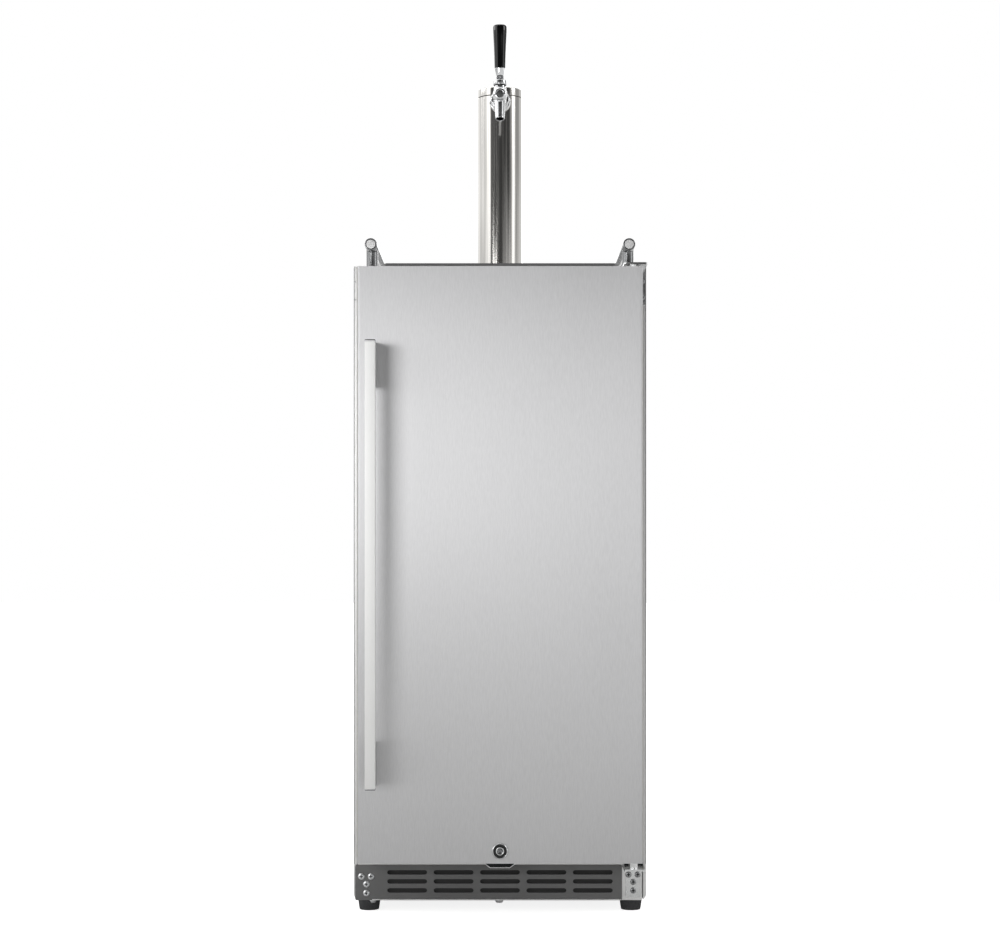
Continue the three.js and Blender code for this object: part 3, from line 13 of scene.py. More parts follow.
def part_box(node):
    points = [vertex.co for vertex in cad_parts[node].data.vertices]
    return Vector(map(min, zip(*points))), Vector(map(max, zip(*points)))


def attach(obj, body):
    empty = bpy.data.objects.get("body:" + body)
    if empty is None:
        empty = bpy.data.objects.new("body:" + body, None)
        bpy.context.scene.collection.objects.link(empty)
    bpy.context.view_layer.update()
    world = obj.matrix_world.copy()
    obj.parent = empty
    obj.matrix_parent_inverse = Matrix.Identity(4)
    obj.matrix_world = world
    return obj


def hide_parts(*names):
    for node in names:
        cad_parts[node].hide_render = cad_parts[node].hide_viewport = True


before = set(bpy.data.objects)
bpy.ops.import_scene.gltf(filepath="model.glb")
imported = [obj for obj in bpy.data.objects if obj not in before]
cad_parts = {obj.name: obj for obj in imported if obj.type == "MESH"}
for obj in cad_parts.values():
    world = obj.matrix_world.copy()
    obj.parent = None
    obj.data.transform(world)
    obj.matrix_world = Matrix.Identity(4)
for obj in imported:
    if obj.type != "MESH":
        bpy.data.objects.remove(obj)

LOG = logging.getLogger("kegerator")
MM = 0.001
CREASE_ANGLE = 35.0  # degrees; an edge sharper than this stays crisp
VALVE_Y = -7.55  # the upright axis that bonnet, collar and tap handle share

Point = tuple[float, float, float]
Profile = list[tuple[float, float]]
Pairs = tuple[tuple[float, float], ...]


# Shared mesh and node tools. Mesh sizes are in millimetres, and a finished mesh is in metres.


def linear(colour: str) -> tuple[float, float, float, float]:
    """Turns an sRGB hex colour to linear light.

    Args:
        colour: six hex digits after a hash.

    Returns:
        Red, green, blue and an alpha of one.
    """
    channels = (int(colour[i:i + 2], 16) / 255 for i in (1, 3, 5))
    red, green, blue = (c / 12.92 if c <= 0.04045 else ((c + 0.055) / 1.055) ** 2.4 for c in channels)
    return red, green, blue, 1.0


def add_node(tree: bpy.types.NodeTree, kind: str, settings: dict | None = None, **links) -> bpy.types.Node:
    """Adds a node with its settings and links.

    Args:
        tree: node tree that takes the node.
        kind: Blender's name of the node type.
        settings: properties by name and input values by socket name or index.
        links: output sockets by the input name they feed, with underscores for spaces, or by _ and an index.

    Returns:
        The new node.
    """
    node = tree.nodes.new(kind)
    for name, value in (settings or {}).items():
        if isinstance(name, str) and hasattr(node, name):
            setattr(node, name, value)
        else:
            node.inputs[name].default_value = value
    for name, socket in links.items():
        target = node.inputs[int(name[1:])] if name[1:].isdigit() else node.inputs[name.replace("_", " ")]
        tree.links.new(socket, target)
    return node


def node_box(name: str) -> tuple[Vector, Vector]:
    """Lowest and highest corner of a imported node, in millimetres."""
    low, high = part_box(name)
    return Vector(low) / MM, Vector(high) / MM


def new_object(name: str, mesh: bpy.types.Mesh) -> bpy.types.Object:
    """Puts a mesh in the scene.

    Args:
        name: name of the new object.
        mesh: its mesh.

    Returns:
        The new object.
    """
    made = bpy.data.objects.new(name, mesh)
    bpy.context.scene.collection.objects.link(made)
    return made


def shade_smooth(mesh: bpy.types.Mesh, angle: float = CREASE_ANGLE) -> None:
    """Shades a mesh smooth and keeps edges sharper than the angle, in degrees, crisp."""
    mesh.shade_smooth()
    mesh.set_sharp_from_angle(angle=math.radians(angle))


def finish_mesh(name: str, work: bmesh.types.BMesh, place: Matrix | None = None,
                angle: float = CREASE_ANGLE) -> bpy.types.Object:
    """Turns a mesh in millimetres to an object in metres, and frees the mesh.

    Args:
        name: name of the new object.
        work: the mesh in millimetres.
        place: where the mesh goes, in millimetres.
        angle: edges sharper than this many degrees stay crisp.

    Returns:
        The new object, with its place in its mesh.
    """
    bmesh.ops.recalc_face_normals(work, faces=work.faces)
    mesh = bpy.data.meshes.new(name)
    work.to_mesh(mesh)
    work.free()
    mesh.transform(Matrix.Scale(MM, 4) @ (place or Matrix.Identity(4)))
    shade_smooth(mesh, angle)
    return new_object(name, mesh)


def soften(made: bpy.types.Object, width: float, segments: int = 2) -> bpy.types.Object:
    """Rounds the crisp edges of an object, so that they catch the light.

    Args:
        made: the object.
        width: width of the rounding in millimetres.
        segments: number of facets across the rounding.

    Returns:
        The same object.
    """
    bevel = made.modifiers.new("edge_rounding", "BEVEL")
    bevel.width = width * MM
    bevel.segments = segments
    bevel.limit_method = "ANGLE"
    bevel.angle_limit = math.radians(CREASE_ANGLE)
    bevel.harden_normals = True
    return made


# The turn that lays a spin about z along each axis.
AXIS_TURN = {
    "x": Matrix.Rotation(math.radians(90), 4, "Y"),
    "y": Matrix.Rotation(math.radians(-90), 4, "X"),
    "z": Matrix.Identity(4),
}


def eased(corners: list[tuple[float, float, float]], steps: int = 4) -> Profile:
    """Eases the corners of an outline with short curves.

    Args:
        corners: the two places of each corner and the length of its curve's legs; 0 keeps it crisp.
        steps: number of chords in each curve.

    Returns:
        The eased outline.
    """
    line = []
    for index, (u, v, ease) in enumerate(corners):
        here = Vector((u, v))
        if not ease:
            line.append((u, v))
            continue
        before, after = (here + (Vector(corners[i][:2]) - here).normalized() * ease
                         for i in (index - 1, (index + 1) % len(corners)))
        for step in range(steps + 1):
            share = step / steps
            rest = 1 - share
            line.append(tuple(before * rest ** 2 + here * 2 * share * rest + after * share ** 2))
    return line


def arc(centre: tuple[float, float], radius: float, start: float, end: float,
        steps: int = 8) -> Profile:
    """Points of a circular arc between two angles in degrees."""
    angles = (math.radians(start + (end - start) * step / steps) for step in range(steps + 1))
    return [(centre[0] + radius * math.cos(a), centre[1] + radius * math.sin(a)) for a in angles]


def closed_arc(radius: float, steps: int) -> Profile:
    """Points of a whole circle round zero, with the last one a step before the first."""
    return arc((0.0, 0.0), radius, 0, 360 * (steps - 1) / steps, steps - 1)


ON_AXIS = 1e-7  # a radius up to this counts as a point of the axis
SIDES_A_FLUTE = 6  # flat sides in each groove of a fluted piece
PLAIN_RINGS = 3  # rings at each end of a fluted piece that its grooves stay clear of


def lathe(name: str, profile: Profile, place: Point, axis: str = "z", sides: int = 96,
          turn: Matrix | None = None, flutes: int = 0, flute_depth: float = 0.0) -> bpy.types.Object:
    """Spins a profile of radius and height pairs about an axis.

    Args:
        name: name of the new object.
        profile: pairs of radius and height; radius 0 closes an end, and otherwise the line closes on itself.
        place: point of the axis at height 0.
        axis: axis that the height follows.
        sides: number of flat sides round the axis.
        turn: a turn that takes the place of the axis, for leaning pieces.
        flutes: number of grooves round the sides.
        flute_depth: depth of the grooves.

    Returns:
        The new object, with its place in its mesh.
    """
    sides = flutes * SIDES_A_FLUTE if flutes else sides
    work = bmesh.new()
    rings = []
    for index, (radius, height) in enumerate(profile):
        if radius <= ON_AXIS:
            rings.append([work.verts.new((0, 0, height))])
            continue
        inner = PLAIN_RINGS <= index < len(profile) - PLAIN_RINGS
        ring = []
        for i in range(sides):
            angle = 2 * math.pi * i / sides
            reach = radius
            if inner:
                reach -= flute_depth * (0.5 - 0.5 * math.cos(flutes * angle))
            ring.append(work.verts.new((reach * math.cos(angle), reach * math.sin(angle), height)))
        rings.append(ring)
    pairs = list(zip(rings, rings[1:]))
    if len(rings[0]) > 1 and len(rings[-1]) > 1:
        pairs.append((rings[-1], rings[0]))
    for low, high in pairs:
        for i in range(sides):
            corners = [low[i % len(low)], low[(i + 1) % len(low)],
                       high[(i + 1) % len(high)], high[i % len(high)]]
            unique = list(dict.fromkeys(corners))
            if len(unique) > 2:
                work.faces.new(unique)
    return finish_mesh(name, work, Matrix.Translation(place) @ (turn or AXIS_TURN[axis]))


# Where an outline's two places and its reach land, for each axis that it can be drawn along.
SPOTS = {
    "z": lambda u, v, w: (u, v, w),
    "y": lambda u, v, w: (u, w, v),
    "x": lambda u, v, w: (w, u, v),
}


def prism(name: str, outline: Profile, reach: tuple[float, float], axis: str = "z") -> bpy.types.Object:
    """Draws a flat outline out along an axis.

    Args:
        name: name of the new object.
        outline: corners; (x, y) along z, (x, z) along y and (y, z) along x.
        reach: start and end along the axis.
        axis: axis that the outline is drawn along.

    Returns:
        The new object, with its place in its mesh.
    """
    work = bmesh.new()
    ends = [[work.verts.new(SPOTS[axis](u, v, w)) for u, v in outline] for w in reach]
    work.faces.new(ends[0])
    work.faces.new(ends[1])
    for i in range(len(outline)):
        after = (i + 1) % len(outline)
        work.faces.new((ends[0][i], ends[0][after], ends[1][after], ends[1][i]))
    return finish_mesh(name, work)


def rounded_outline(x: tuple[float, float], y: tuple[float, float], radius: float,
                    steps: int = 6) -> Profile:
    """Draws a rectangle with rounded corners, counter-clockwise.

    Args:
        x: lowest and highest first place.
        y: lowest and highest second place.
        radius: radius of its corners.
        steps: number of chords in each corner.

    Returns:
        The outline.
    """
    centres = ((x[1] - radius, y[0] + radius, -90), (x[1] - radius, y[1] - radius, 0),
               (x[0] + radius, y[1] - radius, 90), (x[0] + radius, y[0] + radius, 180))
    return [corner for u, v, start in centres
            for corner in arc((u, v), radius, start, start + 90, steps)]


def tube(name: str, path: list[Point], radius: float, sides: int = 16,
         closed: bool = False) -> bpy.types.Object:
    """Runs a round wire or hose along a path.

    Args:
        name: name of the new object.
        path: points of its middle line.
        radius: its radius.
        sides: number of flat sides round it.
        closed: joins the last point to the first.

    Returns:
        The new object, with its place in its mesh.
    """
    points = [Vector(point) for point in path]
    count = len(points)
    work = bmesh.new()
    rings = []
    tangent = normal = None
    for i, point in enumerate(points):
        before = points[i - 1] if closed or i else point
        after = points[(i + 1) % count] if closed or i < count - 1 else point
        new_tangent = (after - before).normalized()
        if normal is None:
            normal = new_tangent.orthogonal().normalized()
        else:
            normal = tangent.rotation_difference(new_tangent) @ normal
        tangent = new_tangent
        side = tangent.cross(normal)
        angles = (2 * math.pi * step / sides for step in range(sides))
        rings.append([work.verts.new(point + (normal * math.cos(a) + side * math.sin(a)) * radius)
                      for a in angles])
    pairs = list(zip(rings, rings[1:])) + ([(rings[-1], rings[0])] if closed else [])
    for low, high in pairs:
        for i in range(sides):
            after = (i + 1) % sides
            work.faces.new((low[i], low[after], high[after], high[i]))
    if not closed:
        work.faces.new(rings[0])
        work.faces.new(rings[-1])
    return finish_mesh(name, work)


def carve(made: bpy.types.Object, *cutters: bpy.types.Object) -> bpy.types.Object:
    """Cuts other objects out of one and deletes them.

    Args:
        made: the object that keeps what is left.
        cutters: the objects that are cut out.

    Returns:
        The same object with its new mesh.
    """
    for cutter in cutters:
        modifier = made.modifiers.new("cut", "BOOLEAN")
        modifier.operation = "DIFFERENCE"
        modifier.solver = "EXACT"
        modifier.object = cutter
    left = made.evaluated_get(bpy.context.evaluated_depsgraph_get())
    mesh = bpy.data.meshes.new_from_object(left)
    mesh.name = made.name
    made.modifiers.clear()
    made.data = mesh
    for cutter in cutters:
        bpy.data.objects.remove(cutter, do_unlink=True)
    shade_smooth(mesh)
    return made


def merge(name: str, parts: list[bpy.types.Object]) -> bpy.types.Object:
    """Puts several placed objects in one mesh and deletes them.

    Args:
        name: name of the new object.
        parts: the objects, each with its place in its mesh.

    Returns:
        The new object.
    """
    work = bmesh.new()
    for part in parts:
        work.from_mesh(part.data)
        bpy.data.objects.remove(part, do_unlink=True)
    mesh = bpy.data.meshes.new(name)
    work.to_mesh(mesh)
    work.free()
    shade_smooth(mesh)
    return new_object(name, mesh)


# Finishes. A pattern has the real one's size in millimetres, unless a comment says that it is drawn wider.

NOISE_MIDDLE = (0.3, 0.7)  # nearly all of a noise lies between these values


class Grain(Enum):
    """The axis that a brushed or drawn surface was worked along."""

    UPRIGHT = "Z"
    ACROSS = "X"


@dataclass(frozen=True)
class Finish:
    """A surface of one material: the values that are the same all over it, and a pattern from a subclass."""

    name: str
    colour: str
    roughness: float
    metallic: float = 0.0

    def make(self) -> bpy.types.Material:
        """Builds the material once.

        Returns:
            The material, the same one at each call.
        """
        made = bpy.data.materials.get(self.name)
        if made:
            return made
        made = bpy.data.materials.new(self.name)
        made.use_nodes = True
        made.diffuse_color = linear(self.colour)
        tree = made.node_tree
        tree.nodes.clear()
        settings = {"Base Color": linear(self.colour), "Metallic": self.metallic, "Roughness": self.roughness}
        shader = add_node(tree, "ShaderNodeBsdfPrincipled", settings)
        add_node(tree, "ShaderNodeOutputMaterial", Surface=shader.outputs["BSDF"])
        self.pattern(tree, shader)
        return made

    def pattern(self, tree: bpy.types.NodeTree, shader: bpy.types.Node) -> None:
        """Feeds what varies over the surface to the shader.

        Args:
            tree: node tree of the material.
            shader: its shader.
        """
        raise NotImplementedError(self.name)

    def noise(self, tree: bpy.types.NodeTree, size_mm: Point, detail: float = 3.0) -> bpy.types.Node:
        """Adds a noise whose spots have a real size.

        Args:
            tree: node tree that takes the noise.
            size_mm: width of a spot along x, y and z in millimetres.
            detail: number of finer layers.

        Returns:
            The noise node.
        """
        place = add_node(tree, "ShaderNodeTexCoord")
        scale = tuple(1 / (size * MM) for size in size_mm)
        mapped = add_node(tree, "ShaderNodeMapping", {"Scale": scale}, Vector=place.outputs["Object"])
        return add_node(tree, "ShaderNodeTexNoise", {"Scale": 1.0, "Detail": detail},
                        Vector=mapped.outputs["Vector"])

    def spread(self, tree: bpy.types.NodeTree, socket: bpy.types.NodeSocket, low: float,
               high: float) -> bpy.types.NodeSocket:
        """Spreads a noise's middle range over two values.

        Args:
            tree: node tree that takes the node.
            socket: output that gives the noise.
            low: value at the dark end.
            high: value at the light end.

        Returns:
            The output socket with the spread value.
        """
        settings = {"From Min": NOISE_MIDDLE[0], "From Max": NOISE_MIDDLE[1], "To Min": low, "To Max": high}
        return add_node(tree, "ShaderNodeMapRange", settings, Value=socket).outputs["Result"]

    def tint(self, tree: bpy.types.NodeTree, socket: bpy.types.NodeSocket, low: float,
             high: float) -> bpy.types.NodeSocket:
        """Makes the finish's colour darker and lighter along a noise.

        Args:
            tree: node tree that takes the node.
            socket: output that gives the noise.
            low: share of the colour's light at the dark end.
            high: share of the colour's light at the light end.

        Returns:
            The output socket with the colour.
        """
        red, green, blue, _ = linear(self.colour)
        ends = [tuple(min(1.0, c * share) for c in (red, green, blue)) + (1.0,) for share in (low, high)]
        ramp = add_node(tree, "ShaderNodeValToRGB", None, Fac=socket)
        for element, place, value in zip(ramp.color_ramp.elements, NOISE_MIDDLE, ends):
            element.position = place
            element.color = value
        return ramp.outputs["Color"]

    def vary(self, tree: bpy.types.NodeTree, shader: bpy.types.Node, tinted: bpy.types.NodeSocket,
             shade: tuple[float, float], dulled: bpy.types.NodeSocket, rough: tuple[float, float]) -> None:
        """Lets one noise change the colour and one the roughness.

        Args:
            tree: node tree of the material.
            shader: its shader.
            tinted: noise that changes the colour.
            shade: shares of the colour's light at the noise's dark and light end.
            dulled: noise that changes the roughness.
            rough: roughness at the noise's dark and light end.
        """
        tree.links.new(self.tint(tree, tinted, *shade), shader.inputs["Base Color"])
        tree.links.new(self.spread(tree, dulled, *rough), shader.inputs["Roughness"])

    def bump(self, tree: bpy.types.NodeTree, shader: bpy.types.Node, socket: bpy.types.NodeSocket,
             depth_mm: float) -> None:
        """Raises the surface along a height by a real depth.

        Args:
            tree: node tree of the material.
            shader: its shader.
            socket: output that gives the height.
            depth_mm: depth of the pattern in millimetres.
        """
        raised = add_node(tree, "ShaderNodeBump", {"Distance": depth_mm * MM}, Height=socket)
        tree.links.new(raised.outputs["Normal"], shader.inputs["Normal"])


@dataclass(frozen=True)
class BrushedStainless(Finish):
    """Stainless sheet rubbed one way with an abrasive belt: fine hairlines and soft stretched highlights."""

    metallic: float = 1.0
    grain: Grain = Grain.UPRIGHT
    # A belt leaves lines about 0.1 mm wide; they are drawn wider here, so that they show at a step away.
    line_mm: float = 0.9
    line_length_mm: float = 9.0
    cloud_mm: Point = (160.0, 160.0, 240.0)
    cloud_share: float = 0.25
    contrast: float = 0.06
    stretch: float = 0.75
    depth_mm: float = 0.006

    def pattern(self, tree: bpy.types.NodeTree, shader: bpy.types.Node) -> None:
        """Draws the hairlines as long noise over slow cloudy marks, and stretches highlights across them.

        Args:
            tree: node tree of the material.
            shader: its shader.
        """
        shader.inputs["Anisotropic"].default_value = self.stretch
        across = add_node(tree, "ShaderNodeTangent", {"direction_type": "RADIAL", "axis": self.grain.value})
        tree.links.new(across.outputs["Tangent"], shader.inputs["Tangent"])
        size = tuple(self.line_length_mm if axis == self.grain.value else self.line_mm for axis in "XYZ")
        lines = self.noise(tree, size, 4.0).outputs["Fac"]
        clouds = self.noise(tree, self.cloud_mm, 2.0).outputs["Fac"]
        both = add_node(tree, "ShaderNodeMix", {"data_type": "FLOAT", "Factor": self.cloud_share},
                        _2=lines, _3=clouds)
        mixed = both.outputs["Result"]
        # A line is a scratch, so it takes more light away than it adds.
        shade = (1 - self.contrast * 1.2, 1 + self.contrast * 0.8)
        self.vary(tree, shader, mixed, shade, mixed, (self.roughness - 0.05, self.roughness + 0.06))
        self.bump(tree, shader, lines, self.depth_mm)


@dataclass(frozen=True)
class PolishedMetal(Finish):
    """Buffed and plated metal: mirror bright, with faint wipe marks that show in its highlights."""

    metallic: float = 1.0
    # The wipe marks of a cloth, drawn twice as long upright as they are wide.
    smear_mm: float = 14.0

    def pattern(self, tree: bpy.types.NodeTree, shader: bpy.types.Node) -> None:
        """Makes the mirror a little duller in slow smears.

        Args:
            tree: node tree of the material.
            shader: its shader.
        """
        smears = self.noise(tree, (self.smear_mm, self.smear_mm, self.smear_mm * 2), 3.0).outputs["Fac"]
        rough = (self.roughness * 0.7, self.roughness * 1.5)
        self.vary(tree, shader, smears, (0.95, 1.03), smears, rough)


@dataclass(frozen=True)
class ZincPlate(Finish):
    """Pressed steel with a passivated zinc layer: dull, slightly blotched and a little blue."""

    metallic: float = 1.0
    blotch_mm: float = 6.0
    # Rolling leaves marks under 0.1 mm wide; they are drawn wider here, so that they show.
    rolled_mm: Point = (0.5, 0.5, 2.5)
    depth_mm: float = 0.01

    def pattern(self, tree: bpy.types.NodeTree, shader: bpy.types.Node) -> None:
        """Draws the blotches of the bath and a fine rolled texture.

        Args:
            tree: node tree of the material.
            shader: its shader.
        """
        blotches = self.noise(tree, (self.blotch_mm,) * 3, 5.0).outputs["Fac"]
        rolled = self.noise(tree, self.rolled_mm, 2.0).outputs["Fac"]
        rough = (self.roughness - 0.05, self.roughness + 0.07)
        self.vary(tree, shader, blotches, (0.9, 1.05), blotches, rough)
        self.bump(tree, shader, rolled, self.depth_mm)


@dataclass(frozen=True)
class PowderCoat(Finish):
    """Baked powder paint on steel: an even colour with the low ripple called orange peel."""

    peel_mm: float = 1.6
    depth_mm: float = 0.03
    drift_mm: float = 90.0

    def pattern(self, tree: bpy.types.NodeTree, shader: bpy.types.Node) -> None:
        """Draws the ripple, and a slow change of colour where the layer is thicker.

        Args:
            tree: node tree of the material.
            shader: its shader.
        """
        peel = self.noise(tree, (self.peel_mm,) * 3, 2.0).outputs["Fac"]
        slow = self.noise(tree, (self.drift_mm,) * 3, 3.0).outputs["Fac"]
        rough = (self.roughness - 0.06, self.roughness + 0.08)
        self.vary(tree, shader, slow, (0.9, 1.1), peel, rough)
        self.bump(tree, shader, peel, self.depth_mm)


@dataclass(frozen=True)
class MouldedPlastic(Finish):
    """Injection moulded plastic: an even colour, with the fine spark texture of its steel mould."""

    # A mould's spark texture is about 0.1 mm wide; it is drawn wider here, so that it shows.
    spark_mm: float = 0.8
    depth_mm: float = 0.015
    drift_mm: float = 55.0

    def pattern(self, tree: bpy.types.NodeTree, shader: bpy.types.Node) -> None:
        """Draws the spark texture, and the slow sheen change of a cooling shell.

        Args:
            tree: node tree of the material.
            shader: its shader.
        """
        spark = self.noise(tree, (self.spark_mm,) * 3, 3.0).outputs["Fac"]
        slow = self.noise(tree, (self.drift_mm,) * 3, 2.0).outputs["Fac"]
        rough = (self.roughness * 0.95, self.roughness * 1.06)
        self.vary(tree, shader, slow, (0.985, 1.01), slow, rough)
        self.bump(tree, shader, spark, self.depth_mm)


@dataclass(frozen=True)
class Rubber(Finish):
    """Moulded rubber: no mirror at all, with dust caught in its pores."""

    # The pores of moulded rubber are about 0.2 mm wide; they are drawn wider here, so that they show.
    pore_mm: float = 0.7
    depth_mm: float = 0.05
    dust_mm: float = 9.0

    def pattern(self, tree: bpy.types.NodeTree, shader: bpy.types.Node) -> None:
        """Draws the pores and the pale dust in them.

        Args:
            tree: node tree of the material.
            shader: its shader.
        """
        pores = self.noise(tree, (self.pore_mm,) * 3, 4.0).outputs["Fac"]
        dust = self.noise(tree, (self.dust_mm,) * 3, 5.0).outputs["Fac"]
        rough = (self.roughness - 0.08, self.roughness + 0.08)
        self.vary(tree, shader, dust, (0.93, 1.1), pores, rough)
        self.bump(tree, shader, pores, self.depth_mm)


@dataclass(frozen=True)
class BlownFoam(Finish):
    """Poured polyurethane foam: a dry surface of small burst cells."""

    # The foam's cells are about 0.4 mm wide; they are drawn wider here, so that they show.
    cell_mm: float = 1.4
    depth_mm: float = 0.5

    def pattern(self, tree: bpy.types.NodeTree, shader: bpy.types.Node) -> None:
        """Draws the cells.

        Args:
            tree: node tree of the material.
            shader: its shader.
        """
        place = add_node(tree, "ShaderNodeTexCoord")
        cells = add_node(tree, "ShaderNodeTexVoronoi", {"Scale": 1 / (self.cell_mm * MM)},
                         Vector=place.outputs["Object"])
        tree.links.new(self.tint(tree, cells.outputs["Distance"], 0.8, 1.05), shader.inputs["Base Color"])
        self.bump(tree, shader, cells.outputs["Distance"], self.depth_mm)


@dataclass(frozen=True)
class VinylHose(Finish):
    """Clear food-grade vinyl: milky, soft and half see-through."""

    clearness: float = 0.5
    ior: float = 1.53
    # Extrusion leaves lines about 0.2 mm wide; they are drawn wider here, so that they show.
    line_mm: Point = (1.0, 1.0, 30.0)
    depth_mm: float = 0.03

    def pattern(self, tree: bpy.types.NodeTree, shader: bpy.types.Node) -> None:
        """Draws faint extrusion lines and lets some light through.

        Args:
            tree: node tree of the material.
            shader: its shader.
        """
        shader.inputs["Transmission Weight"].default_value = self.clearness
        shader.inputs["IOR"].default_value = self.ior
        lines = self.noise(tree, self.line_mm, 2.0).outputs["Fac"]
        tree.links.new(self.tint(tree, lines, 0.92, 1.04), shader.inputs["Base Color"])
        self.bump(tree, shader, lines, self.depth_mm)


# Sheet rubbed upright with a belt: satin, and each reflection is drawn out into a soft upright band.
DOOR_STEEL = BrushedStainless("stainless_sheet_brushed_upright", "#d4d4d5", 0.42, stretch=0.88)
# Square tube rubbed with a finer belt: pale and even, its lines hardly seen.
HANDLE_STEEL = BrushedStainless("stainless_tube_satin", "#ebebea", 0.47, line_mm=0.6, contrast=0.03,
                                depth_mm=0.002)
# The same rubbing on the posts, drawn darker than the bar as painted shade for the bar's shade on them: a
# middle grey.
POST_STEEL = BrushedStainless("stainless_post_satin", "#b2b2b1", 0.4, line_mm=0.6, contrast=0.03,
                              depth_mm=0.002)
# Narrow strips rubbed along their length, drawn paler than the door's sheet as painted light against the shade
# that the door casts on them: nearly white beside the door.
FRAME_STEEL = BrushedStainless("stainless_strip_brushed", "#f0f0ef", 0.45)
# Large panels with the mill's own brushing: a broad satin with slow clouds.
SHELL_STEEL = BrushedStainless("stainless_panel_brushed", "#ebebea", 0.42)
# Drawn tube polished along its length: a mirror broken up by long upright streaks. Real polishing lines are
# hair-fine; they are drawn 2 mm wide, so that they show.
TOWER_STEEL = BrushedStainless("stainless_tube_polished_along", "#dedcd8", 0.11, line_mm=2.2,
                               line_length_mm=260.0, contrast=0.35, stretch=0.0, depth_mm=0.0)
# Chromed brass with a satin dip: reflections lose their edges.
SPOUT_CHROME = PolishedMetal("brass_chrome_satin", "#d2d3d4", 0.2)
# Pressed end plugs left as tumbled: pale and matt, with no mirror.
CAP_STEEL = PolishedMetal("stainless_plug_satin", "#fafafa", 0.55)
# Nickel over a folded rim: a pale line with a soft edge.
RIM_STEEL = PolishedMetal("steel_nickel_bright", "#fbfbfb", 0.4)
# Grate sheet rubbed across: short highlights that cross its bars.
GRATE_STEEL = BrushedStainless("stainless_grate_brushed", "#cfcfce", 0.35, grain=Grain.ACROSS)
# Bright chrome over polished brass: a clear mirror of black and white.
CHROME = PolishedMetal("brass_chrome_plated", "#e4e5e6", 0.07)
# Tube buffed on a wheel: a dark mirror with slightly soft edges.
RAIL_STEEL = PolishedMetal("stainless_tube_buffed", "#949596", 0.2)
# Steel drawn a darker grey than it is, as painted shade where it stands in a joint or a well: the bar's end
# caps, the lock's core and the lever's nut. A grey mirror.
SHADOW_STEEL = PolishedMetal("steel_burnished", "#8f9092", 0.22)
# Steel drawn nearly black, with a dull metal sheen, as painted shade and reflection: the floors of the screws'
# recesses, the sheet behind the lower hinge's arm and the strike's face, which mirrors the dark.
BLACK_SHADE_STEEL = PolishedMetal("steel_black_oxide", "#2c2d2e", 0.4)
# The folded edge of each side panel, drawn in dark steel as a painted shade line along the cabinet's outline: a
# thin grey line beside the frame.
FOLD_STEEL = PolishedMetal("steel_burnished_dark", "#58595a", 0.25)
# Pressed sheet, zinc plated: dull grey with small cloudy blotches.
ZINC = ZincPlate("steel_zinc_plated", "#b9bbbd", 0.34, blotch_mm=3.5)
# Small screws with fresh zinc: the brightest points of the steel.
SCREW_STEEL = ZincPlate("screw_zinc_plated", "#f2f3f4", 0.3, blotch_mm=3.0)
# Stamped plate with satin nickel: a soft mirror, brighter than the zinc.
HINGE_STEEL = ZincPlate("hinge_steel_nickel_satin", "#e6e7e7", 0.2, blotch_mm=9.0)
# Hardened screws with only oil on them: grey, with small sharp highlights.
PLAIN_SCREW = ZincPlate("screw_steel_oiled", "#a6a7a8", 0.24, blotch_mm=3.0)
# Zinc as it leaves the die: grey, dull and slightly grained.
CAST_DARK = ZincPlate("zinc_die_cast_grey", "#6e6f6e", 0.45, blotch_mm=1.2)
# Aluminium as rolled: pale, with a wide soft sheen.
ALUMINIUM = ZincPlate("aluminium_mill_finish", "#c9cbcc", 0.4, blotch_mm=12.0)
# Baked powder paint in graphite: an even dark grey with a low ripple.
GREY_COAT = PowderCoat("steel_powder_coat_graphite", "#56575a", 0.42)
# The same paint in a lighter grey: the kick plate and the plate under the tower.
KICK_COAT = PowderCoat("steel_powder_coat_kick_grey", "#6e6e6e", 0.42)
# The same paint in black: soft grey highlights along the condenser's wires.
BLACK_COAT = PowderCoat("steel_powder_coat_black", "#2a2b2d", 0.45)
# Dipped enamel: blacker and glossier than powder, with a wider ripple.
SHELL_ENAMEL = PowderCoat("compressor_enamel_black", "#101112", 0.28, peel_mm=3.0)
# ABS from a polished mould: deep black with sharp highlights.
GLOSS_ABS = MouldedPlastic("abs_gloss_black", "#060607", 0.1, depth_mm=0.004)
# ABS from a spark-eroded mould: black with a matt bloom.
BLACK_ABS = MouldedPlastic("abs_textured_black", "#131416", 0.42)
# Pressed fibres, drawn with the plastic's fine grain set deeper: dry charcoal without a highlight.
FILTER_FELT = MouldedPlastic("polypropylene_felt_charcoal", "#343434", 0.8, spark_mm=0.5, depth_mm=0.1)
# Vacuum-formed polystyrene: white, half glossy and even.
WHITE_HIPS = MouldedPlastic("polystyrene_white", "#e9eae8", 0.34)
# Soft extruded PVC: grey and matt, a little dusty.
SEAL_RUBBER = Rubber("pvc_seal_grey", "#8b8d8e", 0.62)
# Hard black rubber: charcoal from the dust in its pores.
FOOT_RUBBER = Rubber("rubber_black", "#3d3e40", 0.6)
# Foam that rose against its form: straw-coloured and dry.
FOAM = BlownFoam("polyurethane_foam", "#d9cda0", 0.95)
# Clear hose: milky white, with light through its edges.
HOSE = VinylHose("vinyl_clear", "#dfe3e4", 0.22)


class Slot(Enum):
    """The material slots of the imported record."""

    BRUSHED = "brushed_steel"
    POLISHED = "polished_steel"
    ZINC = "zinc_steel"
    DARK = "dark_paint"
    BLACK = "black_paint"
    PLASTIC = "black_plastic"
    WHITE = "white_plastic"
    SEAL = "grey_rubber"
    RUBBER = "black_rubber"
    FOAM = "foam"
    HOSE = "hose"


